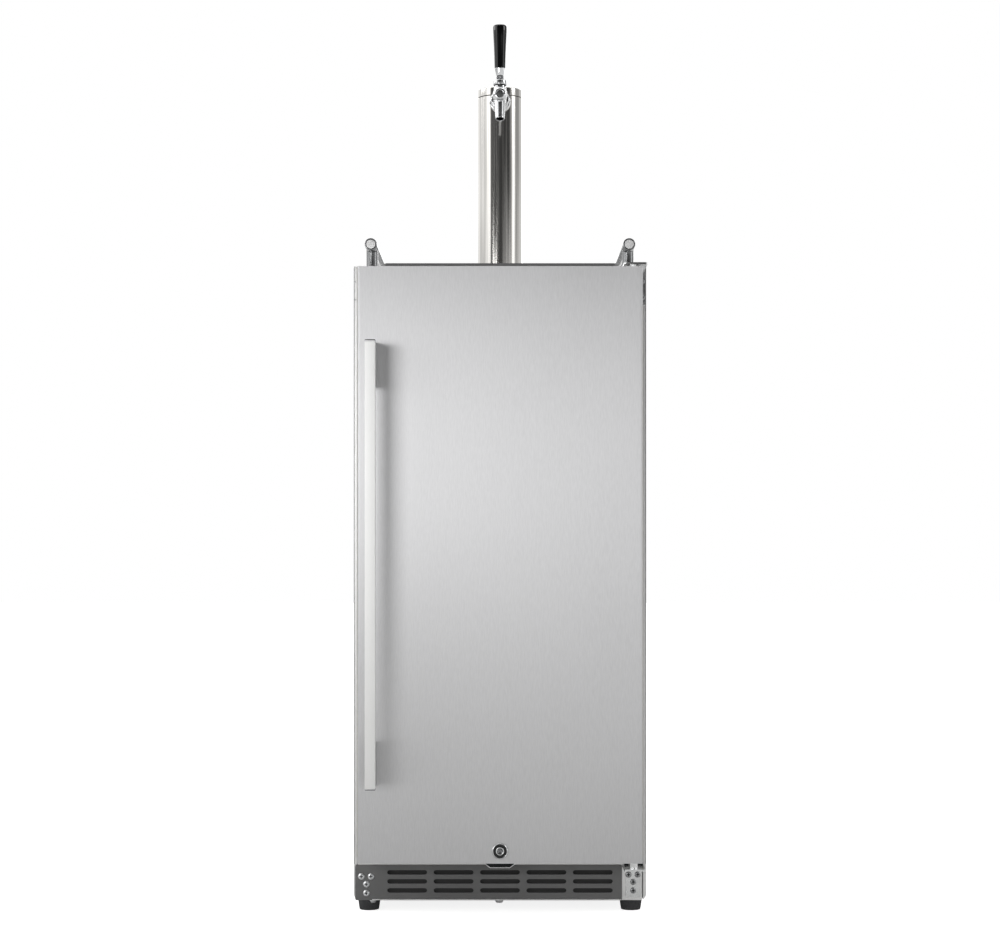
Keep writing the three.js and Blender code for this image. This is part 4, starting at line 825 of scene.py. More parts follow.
def place_piece(made: bpy.types.Object, body: str, finish: Finish,
                stands_for: tuple[str, ...] = ()) -> bpy.types.Object:
    """Gives a new piece its finish, its body and the solids that it stands for.

    Args:
        made: the piece, in place.
        body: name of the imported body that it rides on.
        finish: its finish.
        stands_for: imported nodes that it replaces.

    Returns:
        The same piece.
    """
    made.data.materials.clear()
    made.data.materials.append(finish.make())
    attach(made, body)
    if stands_for:
        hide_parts(*stands_for)
    LOG.info("piece %s on %s", made.name, body)
    return made


def dress_node(name: str, finish: Finish, edge: float = 0.0) -> None:
    """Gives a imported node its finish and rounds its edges.

    Args:
        name: name of the node.
        finish: its finish.
        edge: width of the rounding in millimetres; 0 leaves the edges crisp.
    """
    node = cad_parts[name]
    node.data.materials.clear()
    node.data.materials.append(finish.make())
    if edge:
        soften(node, edge)


# The sub-assemblies, with sizes and places in millimetres


class Assembly:
    """A sub-assembly: most build finer pieces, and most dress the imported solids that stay."""

    def build(self) -> None:
        """Builds nothing, for an assembly whose solids are fine enough."""

    def dress(self) -> None:
        """Dresses nothing, for an assembly whose solids are all replaced."""


@dataclass
class PanScrews:
    """Cross-recess pan-head screws of one size that share their meshes."""

    name: str
    places: tuple[Point, ...]
    facing: Point = (0.0, -1.0, 0.0)
    radius: float = 4.0
    height: float = 1.8
    body: str = "cabinet"
    finish: Finish = SCREW_STEEL
    sides: int = 40
    recess_foot: float = 0.3
    floor_span: tuple[float, float] = (0.22, 0.46)
    floor_fit: float = 0.97

    def build(self) -> None:
        """Sets a head at each place, with a near-black floor in its recess as painted shade."""
        head = self.build_head()
        foot, top = (self.height * share for share in self.floor_span)
        floor = prism(f"{self.name}_floor", self.cross(self.floor_fit), (foot, top))
        # Painted shade: a near-black floor sits low in each cross recess.
        parts = (("head", head, self.finish), ("recess", floor.data, BLACK_SHADE_STEEL))
        bpy.data.objects.remove(floor, do_unlink=True)
        turn = Vector((0, 0, 1)).rotation_difference(Vector(self.facing))
        for index, place in enumerate(self.places):
            for kind, mesh, finish in parts:
                screw = new_object(f"{self.name}_{index + 1:02d}_{kind}", mesh)
                screw.rotation_mode = "QUATERNION"
                screw.rotation_quaternion = turn
                screw.location = Vector(place) * MM
                place_piece(screw, self.body, finish)

    def cross(self, scale: float = 1.0) -> Profile:
        """Draws the outline of the cross recess.

        Args:
            scale: size of the cross next to the recess itself.

        Returns:
            The outline, round zero.
        """
        wide, long = self.radius * 0.15 * scale, self.radius * 0.56 * scale
        quarter = [(wide, wide), (wide, long), (-wide, long)]
        turns = ((1, 0), (0, 1), (-1, 0), (0, -1))
        return [(u * c - v * s, u * s + v * c) for c, s in turns for u, v in quarter]

    def build_head(self) -> bpy.types.Mesh:
        """Builds the domed head with its cross.

        Returns:
            The mesh, facing up, with its seat at height 0.
        """
        r, h = self.radius, self.height
        profile = eased([(0, -h * 0.3, 0), (r * 0.96, -h * 0.3, 0), (r, h * 0.35, r * 0.06),
                         (r * 0.72, h, r * 0.16), (0, h, 0)])
        head = lathe(f"{self.name}_head", profile, (0, 0, 0), sides=self.sides)
        cross = prism("cross_recess", self.cross(), (h * self.recess_foot, h * 2))
        mesh = carve(head, cross).data
        bpy.data.objects.remove(head, do_unlink=True)
        return mesh


@dataclass
class Cabinet(Assembly):
    """The steel shell: panels, front frame, kick plate, base pan and the screws that hold them."""

    edge: float = 0.3
    kick_screws: Pairs = ((-179.3, 45.0), (-166.8, 45.0), (-172.8, 35.2), (-172.8, 23.7))
    strip_screws: Pairs = ((-186.9, 813.7), (-186.9, 790.4))
    pan_screws: tuple[Point, ...] = ((-1.0, -209.0, 14.3), (-165.5, -209.0, 14.3))
    cover_screw_x: float = 176.0
    cover_screw_z: tuple[float, float] = (26.0, 250.0)
    cover_fold: float = 4.0
    hem: float = 0.9
    hem_start: float = 22.0
    fold: float = 0.4
    filter_reach: float = 150.0
    filter_gap: float = 4.0
    filter_sheet: float = 0.6
    pleat_pitch: float = 4.0
    pleat_depth: float = 1.2
    bead_heights: tuple[float, ...] = (340.0, 546.0, 752.0)
    bead_half: float = 7.0
    bead_inset: float = 30.0
    bead_depth: float = 0.8
    back_screw_z: tuple[float, ...] = (270.0, 452.0, 634.0, 820.0)
    back_screw_inset: float = 8.0

    def build(self) -> None:
        """Builds the shell's screws, hem, folds, air filter and back."""
        self.build_screws()
        self.build_folds()
        self.build_filter()
        self.build_back()

    def build_screws(self) -> None:
        """Sets the screws of the kick plate, the front strip, the base pan and the rear cover."""
        cover = node_box("rear_vent_cover")[1].y - self.cover_fold
        frame_face = node_box("front_frame")[0].y
        kick_face = node_box("kick_plate")[0].y
        PanScrews("kick_screw", tuple((x, kick_face, z) for x, z in self.kick_screws), radius=4.2).build()
        PanScrews("strip_screw", tuple((x, frame_face, z) for x, z in self.strip_screws), radius=1.2,
                  height=0.6).build()
        PanScrews("pan_screw", self.pan_screws, facing=(0.0, 0.0, -1.0), radius=5.5, height=4.5).build()
        PanScrews("cover_screw", tuple((x, cover, z) for x in (-self.cover_screw_x, self.cover_screw_x)
                                       for z in self.cover_screw_z),
                  facing=(0.0, 1.0, 0.0), radius=3.4).build()

    def build_folds(self) -> None:
        """Builds the hem along the kick plate's foot and the folded edge of each side panel."""
        low, high = node_box("kick_plate")
        y, z = low.y - 0.2, low.z + self.hem
        hem = tube("kick_hem", [(low.x + self.hem_start, y, z), (high.x - 1.0, y, z)], self.hem, 12)
        place_piece(hem, "cabinet", FRAME_STEEL)
        foot = high.z + 1.0
        for side in ("left", "right"):
            low, high = node_box(f"{side}_side_panel")
            x = low.x + self.fold if side == "left" else high.x - self.fold
            path = [(x, low.y + 0.1, foot), (x, low.y + 0.1, high.z - 1.0)]
            # Painted shade: the fold's dark steel draws a grey line along the cabinet's outline.
            fold = tube(f"shell_fold_{side}", path, self.fold, 12)
            place_piece(fold, "cabinet", FOLD_STEEL)

    def build_filter(self) -> None:
        """Builds the pleated air filter that closes the slots from behind."""
        low, high = node_box("kick_plate")
        count = round(2 * self.filter_reach / self.pleat_pitch)
        front = low.y + self.filter_gap
        steps = [(-self.filter_reach + i * self.pleat_pitch, front + self.pleat_depth * (i % 2))
                 for i in range(count + 1)]
        outline = steps + [(x, y + self.filter_sheet) for x, y in reversed(steps)]
        felt = prism("kick_filter", outline, (low.z + 3.5, high.z - 3.0))
        place_piece(felt, "cabinet", FILTER_FELT)

    def build_back(self) -> None:
        """Builds the back panel with a sunk field between its beads, and its flat screws."""
        low, high = node_box("back_panel")
        field = high.y - self.bead_depth
        outline = rounded_outline((low.x, high.x), (low.z, high.z), 1.5)
        parts = [prism("back_sheet", outline, (low.y, field), "y")]
        bead_x = (low.x + self.bead_inset, high.x - self.bead_inset)
        for index, z in enumerate(self.bead_heights):
            outline = rounded_outline(bead_x, (z - self.bead_half, z + self.bead_half), self.bead_half - 0.1)
            parts.append(prism(f"bead_{index}", outline, (field - 0.2, high.y), "y"))
        panel = merge("back_panel_pressed", parts)
        place_piece(soften(panel, 0.25), "cabinet", ZINC, ("back_panel",))
        screw_x = (low.x + self.back_screw_inset, high.x - self.back_screw_inset)
        PanScrews("back_screw", tuple((x, field, z) for x in screw_x for z in self.back_screw_z),
                  facing=(0.0, 1.0, 0.0), radius=3.4, height=0.7).build()

    def dress(self) -> None:
        """Finishes the shell's solids."""
        for name in ("left_side_panel", "right_side_panel", "top_panel"):
            dress_node(name, SHELL_STEEL, self.edge)
        dress_node("front_frame", FRAME_STEEL, self.edge)
        dress_node("top_plate", KICK_COAT, self.edge)
        dress_node("kick_plate", KICK_COAT, 0.2)
        dress_node("rear_vent_cover", ZINC, self.edge)
        dress_node("base_pan", GREY_COAT, self.edge)
        dress_node("foam_insulation", FOAM)


@dataclass
class LevellingFeet(Assembly):
    """Four ribbed rubber feet on threaded studs, each turning in its own boss."""

    names: tuple[str, ...] = ("foot_front_left", "foot_front_right", "foot_rear_left", "foot_rear_right")
    ribs: int = 40
    rib_depth: float = 0.6
    stud_radius: float = 4.0
    stud_foot: float = 13.0
    stud_tip: float = 0.6
    thread_pitch: float = 1.25
    thread_depth: float = 0.6
    crest: tuple[float, float] = (0.45, 0.6)

    def build(self) -> None:
        """Builds each foot and its stud."""
        for name in self.names:
            low, high = node_box(name)
            place = ((low.x + high.x) / 2, (low.y + high.y) / 2, 0.0)
            foot = lathe(f"{name}_rubber", self.outline(), place, flutes=self.ribs,
                         flute_depth=self.rib_depth)
            place_piece(foot, name, FOOT_RUBBER, (name,))
            stud = lathe(f"{name}_stud", self.thread(high.z), place, sides=32)
            place_piece(stud, name, ZINC)

    def outline(self) -> Profile:
        """The foot's profile, from the floor to its shoulder."""
        return [(0, 0), (11.1, 0), (12.3, 0.25), (12.9, 1.8), (13.5, 6.0), (14.4, 12.2), (14.4, 13.0),
                (14.0, 13.7), (0, 13.7)]

    def thread(self, top: float) -> Profile:
        """The stud's profile with its thread crests.

        Args:
            top: height of the stud's end.

        Returns:
            The profile.
        """
        root, height = self.stud_radius - self.thread_depth, self.stud_foot
        line = [(0, height), (root, height)]
        while height + self.thread_pitch < top - self.stud_tip:
            line += [(self.stud_radius, height + self.thread_pitch * share) for share in self.crest]
            height += self.thread_pitch
            line.append((root, height))
        return line + [(root, top), (0, top)]


@dataclass
class Door(Assembly):
    """The door: a folded steel skin over foam, a moulded liner and a magnetic seal."""

    skin_edge: float = 0.5
    bush_edge: float = 0.3
    liner_edge: float = 0.8
    # The seal's section: inwards from its outer edge, and back from its face.
    bellows: Pairs = (
        (1.0, 0.0), (13.0, 0.0), (13.0, 1.6), (10.4, 3.0), (12.6, 4.6), (10.4, 6.2), (13.4, 7.8), (13.4, 10.9),
        (12.9, 11.4), (1.1, 11.4), (0.6, 10.9), (0.6, 7.8), (3.6, 6.2), (1.4, 4.6), (3.6, 3.0), (1.0, 1.6))

    def build(self) -> None:
        """Builds the seal as a mitred frame of a folded section."""
        low, high = node_box("door_gasket")
        work = bmesh.new()
        rings = []
        corners = ((low.x, low.z, 1, 1), (high.x, low.z, -1, 1), (high.x, high.z, -1, -1),
                   (low.x, high.z, 1, -1))
        for x, z, inward_x, inward_z in corners:
            rings.append([work.verts.new((x + inward_x * u, low.y + v, z + inward_z * u))
                          for u, v in self.bellows])
        for index, ring in enumerate(rings):
            after = rings[(index + 1) % len(rings)]
            for i in range(len(ring)):
                j = (i + 1) % len(ring)
                work.faces.new((ring[i], ring[j], after[j], after[i]))
        seal = finish_mesh("door_seal", work, angle=25)
        place_piece(seal, "door", SEAL_RUBBER, ("door_gasket",))

    def dress(self) -> None:
        """Finishes the door's solids."""
        dress_node("door_skin", DOOR_STEEL, self.skin_edge)
        dress_node("door_core", FOAM)
        dress_node("door_liner", WHITE_HIPS, self.liner_edge)
        dress_node("door_bush_lower", BLACK_ABS, self.bush_edge)
        dress_node("door_bush_upper", BLACK_ABS, self.bush_edge)


@dataclass
class BarHandle(Assembly):
    """The square bar handle: a drawn tube with an end cap behind a fine joint at each end, on two posts."""

    cap: float = 1.4
    joint: float = 1.1
    joint_depth: float = 0.5
    corner: float = 0.6
    post_edge: float = 0.6

    def build(self) -> None:
        """Builds the bar, its caps and the grey plugs in the joints."""
        low, high = node_box("handle_bar")
        outline = rounded_outline((low.x, high.x), (low.y, high.y), self.corner)
        start, end = low.z + self.cap + self.joint, high.z - self.cap - self.joint
        bar = soften(prism("handle_tube", outline, (start, end)), 0.35)
        place_piece(bar, "door", HANDLE_STEEL, ("handle_bar",))
        # Painted shade: the end caps take the darker grey steel, so that each end of the bar reads as a dark
        # line.
        for name, reach in (("lower", (low.z, low.z + self.cap)), ("upper", (high.z - self.cap, high.z))):
            cap = soften(prism(f"handle_cap_{name}", outline, reach), 0.45, 3)
            place_piece(cap, "door", SHADOW_STEEL)
        inset = self.joint_depth
        core = rounded_outline((low.x + inset, high.x - inset), (low.y + inset, high.y - inset),
                               self.corner / 2)
        plugs = (("lower", (low.z + self.cap - 1, start + 1)), ("upper", (end - 1, high.z - self.cap + 1)))
        for name, reach in plugs:
            plug = soften(prism(f"handle_plug_{name}", core, reach), 0.2)
            place_piece(plug, "door", CAP_STEEL)

    def dress(self) -> None:
        """Finishes the posts."""
        dress_node("handle_post_lower", POST_STEEL, self.post_edge)
        dress_node("handle_post_upper", POST_STEEL, self.post_edge)


@dataclass
class DoorLock(Assembly):
    """The key lock: a plated bezel, a well darkened by a black disc as painted shade, a bright ring and a core
    with its keyway, and the strike.
    """

    barrel_radius: float = 9.0
    bezel_radius: float = 10.5
    well_radius: float = 8.6
    ring_radius: float = 5.4
    core_radius: float = 3.8
    core_gap: float = 0.5
    keyway: tuple[float, float] = (0.8, 3.0)
    rim_radius: float = 0.65
    strike_slant: float = 7.0

    def build(self) -> None:
        """Builds the lock from the bezel inwards."""
        low, high = node_box("lock_housing")
        plug_low, plug_high = node_box("lock_plug")
        height = (low.z + high.z) / 2
        seat, length = -low.y + node_box("door_skin")[0].y, high.y - low.y
        front = (0.0, low.y, height)
        bezel = eased([(self.ring_radius + 0.3, 1.6, 0), (self.well_radius, 1.6, 0.3),
                       (self.well_radius, 0.3, 0.3), (9.0, 0, 0.25), (9.5, 0.2, 0.4),
                       (self.bezel_radius, 1.5, 0.7), (self.bezel_radius, seat, 0),
                       (self.barrel_radius, seat, 0), (self.barrel_radius, length, 0.5),
                       (self.ring_radius + 0.3, length, 0)])
        place_piece(lathe("lock_bezel", bezel, front, "y"), "door", CHROME, ("lock_housing",))
        # Painted shade: a black disc at the foot of the bezel's well makes it read dark.
        well = [(self.ring_radius + 0.2, 1.3), (self.well_radius - 0.1, 1.3), (self.well_radius - 0.1, 1.58),
                (self.ring_radius + 0.2, 1.58)]
        place_piece(lathe("lock_well", well, front, "y"), "door", BLACK_ABS)
        self.build_plug((0.0, plug_low.y, height), plug_high.y - plug_low.y)
        self.build_strike_rim()

    def build_plug(self, front: Point, length: float) -> None:
        """Builds the turning plug with its keyway.

        Args:
            front: middle of the plug's front.
            length: length of the plug.
        """
        ring = eased([(self.core_radius, 0.9, 0), (self.core_radius, 0.2, 0.15), (4.2, 0, 0.15),
                      (5.0, 0, 0.3), (self.ring_radius, 0.7, 0.3), (self.ring_radius, length, 0),
                      (self.core_radius, length, 0)])
        place_piece(lathe("lock_ring", ring, front, "y"), "lock", CHROME, ("lock_plug",))
        edge = self.core_radius - self.core_gap
        profile = eased([(0, 0.5, 0), (edge, 0.7, 0.3), (edge, length, 0), (0, length, 0)])
        core = lathe("lock_core", profile, front, "y", 48)
        _, y, height = front
        half, tall = self.keyway
        outline = rounded_outline((-half, half), (height - tall, height + tall), half / 2, 3)
        keyway = prism("keyway", outline, (y - 2, y + 8), "y")
        # Painted shade: the core takes the darker grey steel.
        place_piece(carve(core, keyway), "lock", SHADOW_STEEL)

    def build_strike_rim(self) -> None:
        """Builds the bright folded rim along the strike's slants and foot."""
        low, high = node_box("lock_strike")
        y = low.y + self.rim_radius * 0.4
        inset = self.strike_slant
        path = [(low.x + 0.6, y, high.z - 0.8), (low.x + inset - 0.6, y, low.z + 1.2),
                (low.x + inset + 0.6, y, low.z + 0.65), (high.x - inset - 0.6, y, low.z + 0.65),
                (high.x - inset + 0.6, y, low.z + 1.2), (high.x - 0.6, y, high.z - 0.8)]
        place_piece(tube("strike_rim", path, self.rim_radius, 10), "cabinet", RIM_STEEL)

    def dress(self) -> None:
        """Finishes the cam and the strike."""
        dress_node("lock_cam", ZINC, 0.2)
        # Painted reflection: the strike's face is drawn near-black for the dark that it mirrors.
        dress_node("lock_strike", BLACK_SHADE_STEEL, 0.2)


@dataclass
class Hinges(Assembly):
    """The two hinge brackets at the right, with their screws."""

    edge: float = 0.7
    leg_face: float = -220.3
    lower_screws: Pairs = ((166.0, 47.8), (177.9, 47.8), (172.1, 38.3), (172.1, 27.2))
    upper_screws: Pairs = ((183.6, 813.9), (183.6, 793.2))
    shade_width: tuple[float, float] = (160.5, 184.8)
    shade_height: tuple[float, float] = (56.0, 64.6)
    shade_thickness: float = 1.6

    def build(self) -> None:
        """Sets the screws in the brackets' legs, and a near-black sheet behind the lower arm as painted shade.
        """
        face = self.leg_face
        PanScrews("lower_hinge_screw", tuple((x, face, z) for x, z in self.lower_screws),
                  finish=PLAIN_SCREW).build()
        PanScrews("upper_hinge_screw", tuple((x, face, z) for x, z in self.upper_screws), radius=3.4,
                  height=1.5, finish=PLAIN_SCREW).build()
        # Painted shade: a near-black sheet fills the space behind the lower arm, which lies in shade.
        outline = rounded_outline(self.shade_width, self.shade_height, 1.2)
        shade_piece = soften(prism("lower_hinge_shim", outline, (face - self.shade_thickness, face), "y"), 0.3)
        place_piece(shade_piece, "cabinet", BLACK_SHADE_STEEL)

    def dress(self) -> None:
        """Finishes the brackets."""
        dress_node("upper_hinge_bracket", HINGE_STEEL, self.edge)
        dress_node("lower_hinge_bracket", HINGE_STEEL, self.edge)


@dataclass
class GuardRail(Assembly):
    """The tubular rail round the top: two side tubes on posts and one tube between them at the back."""

    radius: float = 8.0
    height: float = 868.0
    plug_radius: float = 6.2
    plug_inset: float = 0.7
    post_radius: float = 7.7
    post_gap: float = 3.5
    flange_radius: float = 11.0
    flange_height: float = 3.0
    post_places: tuple[float, ...] = (-142.5, 265.5)

    def build(self) -> None:
        """Builds both sides and the back tube."""
        for side in ("left", "right"):
            self.build_side(side)
        low, high = node_box("rail_back")
        length = high.x - low.x
        back = lathe("rail_back_tube", [(0, 0), (self.radius, 0), (self.radius, length), (0, length)],
                     (low.x, (low.y + high.y) / 2, self.height), "x")
        place_piece(back, "cabinet", RAIL_STEEL, ("rail_back",))

    def build_side(self, side: str) -> None:
        """Builds the tube, the end plugs and the posts of one side.

        Args:
            side: left or right.
        """
        low, high = node_box(f"rail_{side}")
        x, r, length = (low.x + high.x) / 2, self.radius, high.y - low.y
        place = (x, low.y, self.height)
        bore, inset = self.plug_radius + 0.1, self.plug_inset
        profile = eased([(0, inset, 0), (bore, inset, 0), (bore, 0, 0.2), (r, 0, 0.9), (r, length, 0.9),
                         (bore, length, 0.2), (bore, length - inset, 0), (0, length - inset, 0)])
        place_piece(lathe(f"rail_{side}_tube", profile, place, "y"), "cabinet", RAIL_STEEL,
                    (f"rail_{side}",))
        width = self.plug_radius - 0.2
        plug = eased([(0, 0.1, 0), (width, 0.1, 0.5), (width, length - 0.1, 0.5), (0, length - 0.1, 0)])
        place_piece(lathe(f"rail_{side}_plug", plug, place, "y", 64), "cabinet", CAP_STEEL)
        for name, y in zip(("front", "rear"), self.post_places):
            top = self.height - low.z - self.post_gap
            flange, seat = self.flange_radius, self.flange_height
            post = eased([(0, 0, 0), (flange, 0, 0.3), (flange, seat, 1.0), (self.post_radius + 1.6, seat, 0.6),
                          (self.post_radius, seat + 2.0, 1.5), (self.post_radius, top, 0), (0, top, 0)])
            made = lathe(f"rail_{side}_post_{name}", post, (x, y, low.z))
            place_piece(made, "cabinet", RAIL_STEEL)


@dataclass
class Tower(Assembly):
    """The tap tower: a drawn tube on a spun foot, with a turned cap."""

    radius: float = 31.75
    seam: float = 1.2
    wall: float = 1.2
    cap_edge: float = 2.0
    foot_radius: float = 46.0
    foot_height: float = 5.0
    spigot_radius: float = 29.9
    segments: int = 128

    def build(self) -> None:
        """Builds the foot, the tube and the cap finer than their solids."""
        low, high = node_box("tower_column")
        axis = ((low.x + high.x) / 2, (low.y + high.y) / 2, 0.0)
        profile = [(0, low.z), (self.radius, low.z), (self.radius, high.z), (0, high.z)]
        column = lathe("tower_tube", profile, axis, sides=self.segments)
        place_piece(column, "cabinet", TOWER_STEEL, ("tower_column",))
        start, end = high.z + self.seam, node_box("tower_cap")[1].z
        profile = eased([(0, start, 0), (self.radius, start, 0.2), (self.radius, end, self.cap_edge),
                         (0, end, 0)], 8)
        cap = lathe("tower_top_cap", profile, axis, sides=self.segments)
        place_piece(cap, "cabinet", TOWER_STEEL, ("tower_cap",))
        # Painted shade: a black disc under the cap's seam makes the seam read as a dark line.
        inner, foot, top = self.radius - self.wall, high.z - 2, start + 2
        joint = lathe("tower_cap_joint", [(0, foot), (inner, foot), (inner, top), (0, top)], axis,
                      sides=self.segments)
        place_piece(joint, "cabinet", BLACK_ABS)
        self.build_foot(axis)

    def build_foot(self, axis: Point) -> None:
        """Builds the round foot and its four screws.

        Args:
            axis: the tower's axis at height 0.
        """
        low, high = node_box("tower_flange")
        top = low.z + self.foot_height
        foot = eased([(0, low.z, 0), (self.foot_radius, low.z, 0.5), (self.foot_radius, low.z + 2.2, 1.0),
                      (self.foot_radius - 3.0, top, 1.5), (self.spigot_radius, top, 0),
                      (self.spigot_radius, high.z, 0.5), (0, high.z, 0)])
        made = lathe("tower_foot", foot, axis, sides=self.segments)
        place_piece(made, "cabinet", TOWER_STEEL, ("tower_flange",))
        reach = (self.foot_radius + self.radius) / 2 - 1
        places = tuple((axis[0] + reach * math.cos(a), axis[1] + reach * math.sin(a), top)
                       for a in (math.radians(45 + 90 * i) for i in range(4)))
        PanScrews("tower_foot_screw", places, facing=(0.0, 0.0, 1.0), radius=3.0, height=1.4).build()


@dataclass
class Faucet(Assembly):
    """The plated beer faucet: shank, notched coupling ring, body with its nose, bonnet and leaning spout."""

    shank_height: float = 1096.5
    seat: float = 34.8
    body_radius: float = 10.0
    ring_radius: float = 13.5
    ring_flats: int = 8
    ring_notch: float = 0.9
    bonnet_lift: float = 2.9
    bonnet_bore: float = 7.5
    bonnet_depth: float = 3.4
    spout_lean: float = 21.0
    spout_top: Point = (0.0, -8.55, 1090.5)
    spout_length: float = 31.4

    def build(self) -> None:
        """Builds the fixed pieces of the faucet from the tower outwards."""
        self.build_shank()
        self.build_body()
        self.build_bonnet()
        self.build_spout()

    def build_shank(self) -> None:
        """Builds the shank with its seat on the tower, and the coupling ring."""
        low, high = node_box("shank")
        seat, length = self.seat - low.y, high.y - low.y
        place = (0.0, low.y, self.shank_height)
        shank = eased([(4.0, 0, 0), (9.6, 0, 0.3), (9.6, seat, 0.4), (13.9, seat, 0.6),
                       (15.0, seat + 1.4, 1.0), (15.0, seat + 9.7, 0), (7.7, seat + 9.7, 0),
                       (7.7, length, 0.6), (4.0, length, 0)])
        place_piece(lathe("shank_turned", shank, place, "y"), "cabinet", CHROME, ("shank",))
        low, high = node_box("coupling_ring")
        length = high.y - low.y
        ring = eased([(10.3, 0.6, 0), (10.6, 0, 0.2), (12.2, 0, 0.3), (self.ring_radius, 1.2, 0.5),
                      (self.ring_radius, length - 1.2, 0.5), (12.6, length, 0.3), (10.3, length, 0)])
        nut = lathe("coupling_nut", ring, (0.0, low.y, self.shank_height), "y", flutes=self.ring_flats,
                    flute_depth=self.ring_notch)
        place_piece(nut, "cabinet", CHROME, ("coupling_ring",))

    def build_body(self) -> None:
        """Builds the body, whose nose carries a dark round button in a dish."""
        low, high = node_box("faucet_body")
        length, r = high.y - low.y, self.body_radius
        place = (0.0, low.y, self.shank_height)
        body = eased([(0, 1.6, 0), (4.5, 1.6, 0), (4.9, 0.2, 0.3), (5.9, 0, 0.5), (8.6, 1.3, 1.4),
                      (r, 4.6, 1.8), (r, 24.0, 0.3), (9.4, 24.5, 0.2), (9.4, 25.6, 0.2), (r, 26.1, 0.3),
                      (r, 33.0, 1.0), (8.7, 37.5, 1.0), (8.7, 40.5, 0.4), (9.6, 41.5, 0.3),
                      (9.6, length, 0.3), (0, length, 0)])
        barrel = lathe("faucet_barrel", body, place, "y")
        place_piece(barrel, "cabinet", CHROME, ("faucet_body",))
        button = eased([(0, 0.5, 0), (3.4, 0.6, 0.6), (4.2, 1.2, 0.5), (4.2, 2.4, 0), (0, 2.4, 0)])
        place_piece(lathe("faucet_button", button, place, "y", 48), "cabinet", CAST_DARK)
        collar = eased([(0, 1098.0, 0), (8.6, 1098.0, 0), (8.6, 1107.0, 0.8), (7.6, 1108.0, 0.3),
                        (7.6, 1109.2, 0), (5.2, 1109.2, 0), (5.2, 1104.0, 0), (0, 1104.0, 0)])
        made = lathe("faucet_collar", collar, (0.0, VALVE_Y, 0.0))
        place_piece(made, "cabinet", CHROME)

    def build_bonnet(self) -> None:
        """Builds the bonnet on its gasket, with a wide bore in which the lever's black dome turns."""
        low, high = node_box("faucet_bonnet")
        start, bore, lip = low.z + self.bonnet_lift, self.bonnet_bore, high.z - self.bonnet_depth
        bonnet = eased([(5.4, start, 0), (8.9, start, 0.3), (9.5, start + 0.8, 0.4), (9.5, high.z - 0.8, 0.4),
                        (9.0, high.z, 0.3), (8.1, high.z, 0.2), (bore, high.z - 0.6, 0.2), (bore, lip, 0),
                        (5.4, lip, 0)])
        axis = (0.0, VALVE_Y, 0.0)
        ring = lathe("bonnet_ring", bonnet, axis)
        place_piece(ring, "cabinet", SPOUT_CHROME, ("faucet_bonnet",))
        # The gasket below the lifted bonnet is black, which also stands for painted shade under the bonnet.
        foot, top = low.z + 1.5, start - 0.05
        gasket = eased([(5.4, foot, 0), (8.5, foot, 0.3), (8.5, top, 0.3), (5.4, top, 0)])
        place_piece(lathe("bonnet_gasket", gasket, axis), "cabinet", BLACK_ABS)

    def build_spout(self) -> None:
        """Builds the leaning spout with a lip, and a black sleeve in its bore as painted shade."""
        lean = math.radians(self.spout_lean)
        down = Vector((0, -math.sin(lean), -math.cos(lean)))
        turn = Vector((0, 0, 1)).rotation_difference(down).to_matrix().to_4x4()
        end = self.spout_length
        spout = eased([(0, 0, 0), (7.6, 0, 0.8), (7.3, 10.0, 2.0), (6.45, end - 1.0, 0.6), (6.1, end, 0.3),
                       (5.2, end, 0.25), (4.9, end - 0.6, 0), (4.9, 3.0, 0), (0, 3.0, 0)])
        made = lathe("spout_tube", spout, self.spout_top, turn=turn)
        place_piece(made, "cabinet", SPOUT_CHROME, ("spout",))
        # Painted shade: a black sleeve lines the bore, where the spout's inside lies in shade.
        bore = [(4.6, 3.2), (4.88, 3.2), (4.88, end - 0.9), (4.6, end - 0.9)]
        sleeve = lathe("spout_bore", bore, self.spout_top, sides=48, turn=turn)
        place_piece(sleeve, "cabinet", BLACK_ABS)

    def dress(self) -> None:
        """Finishes the valve rod."""
        dress_node("valve_shaft", CHROME)


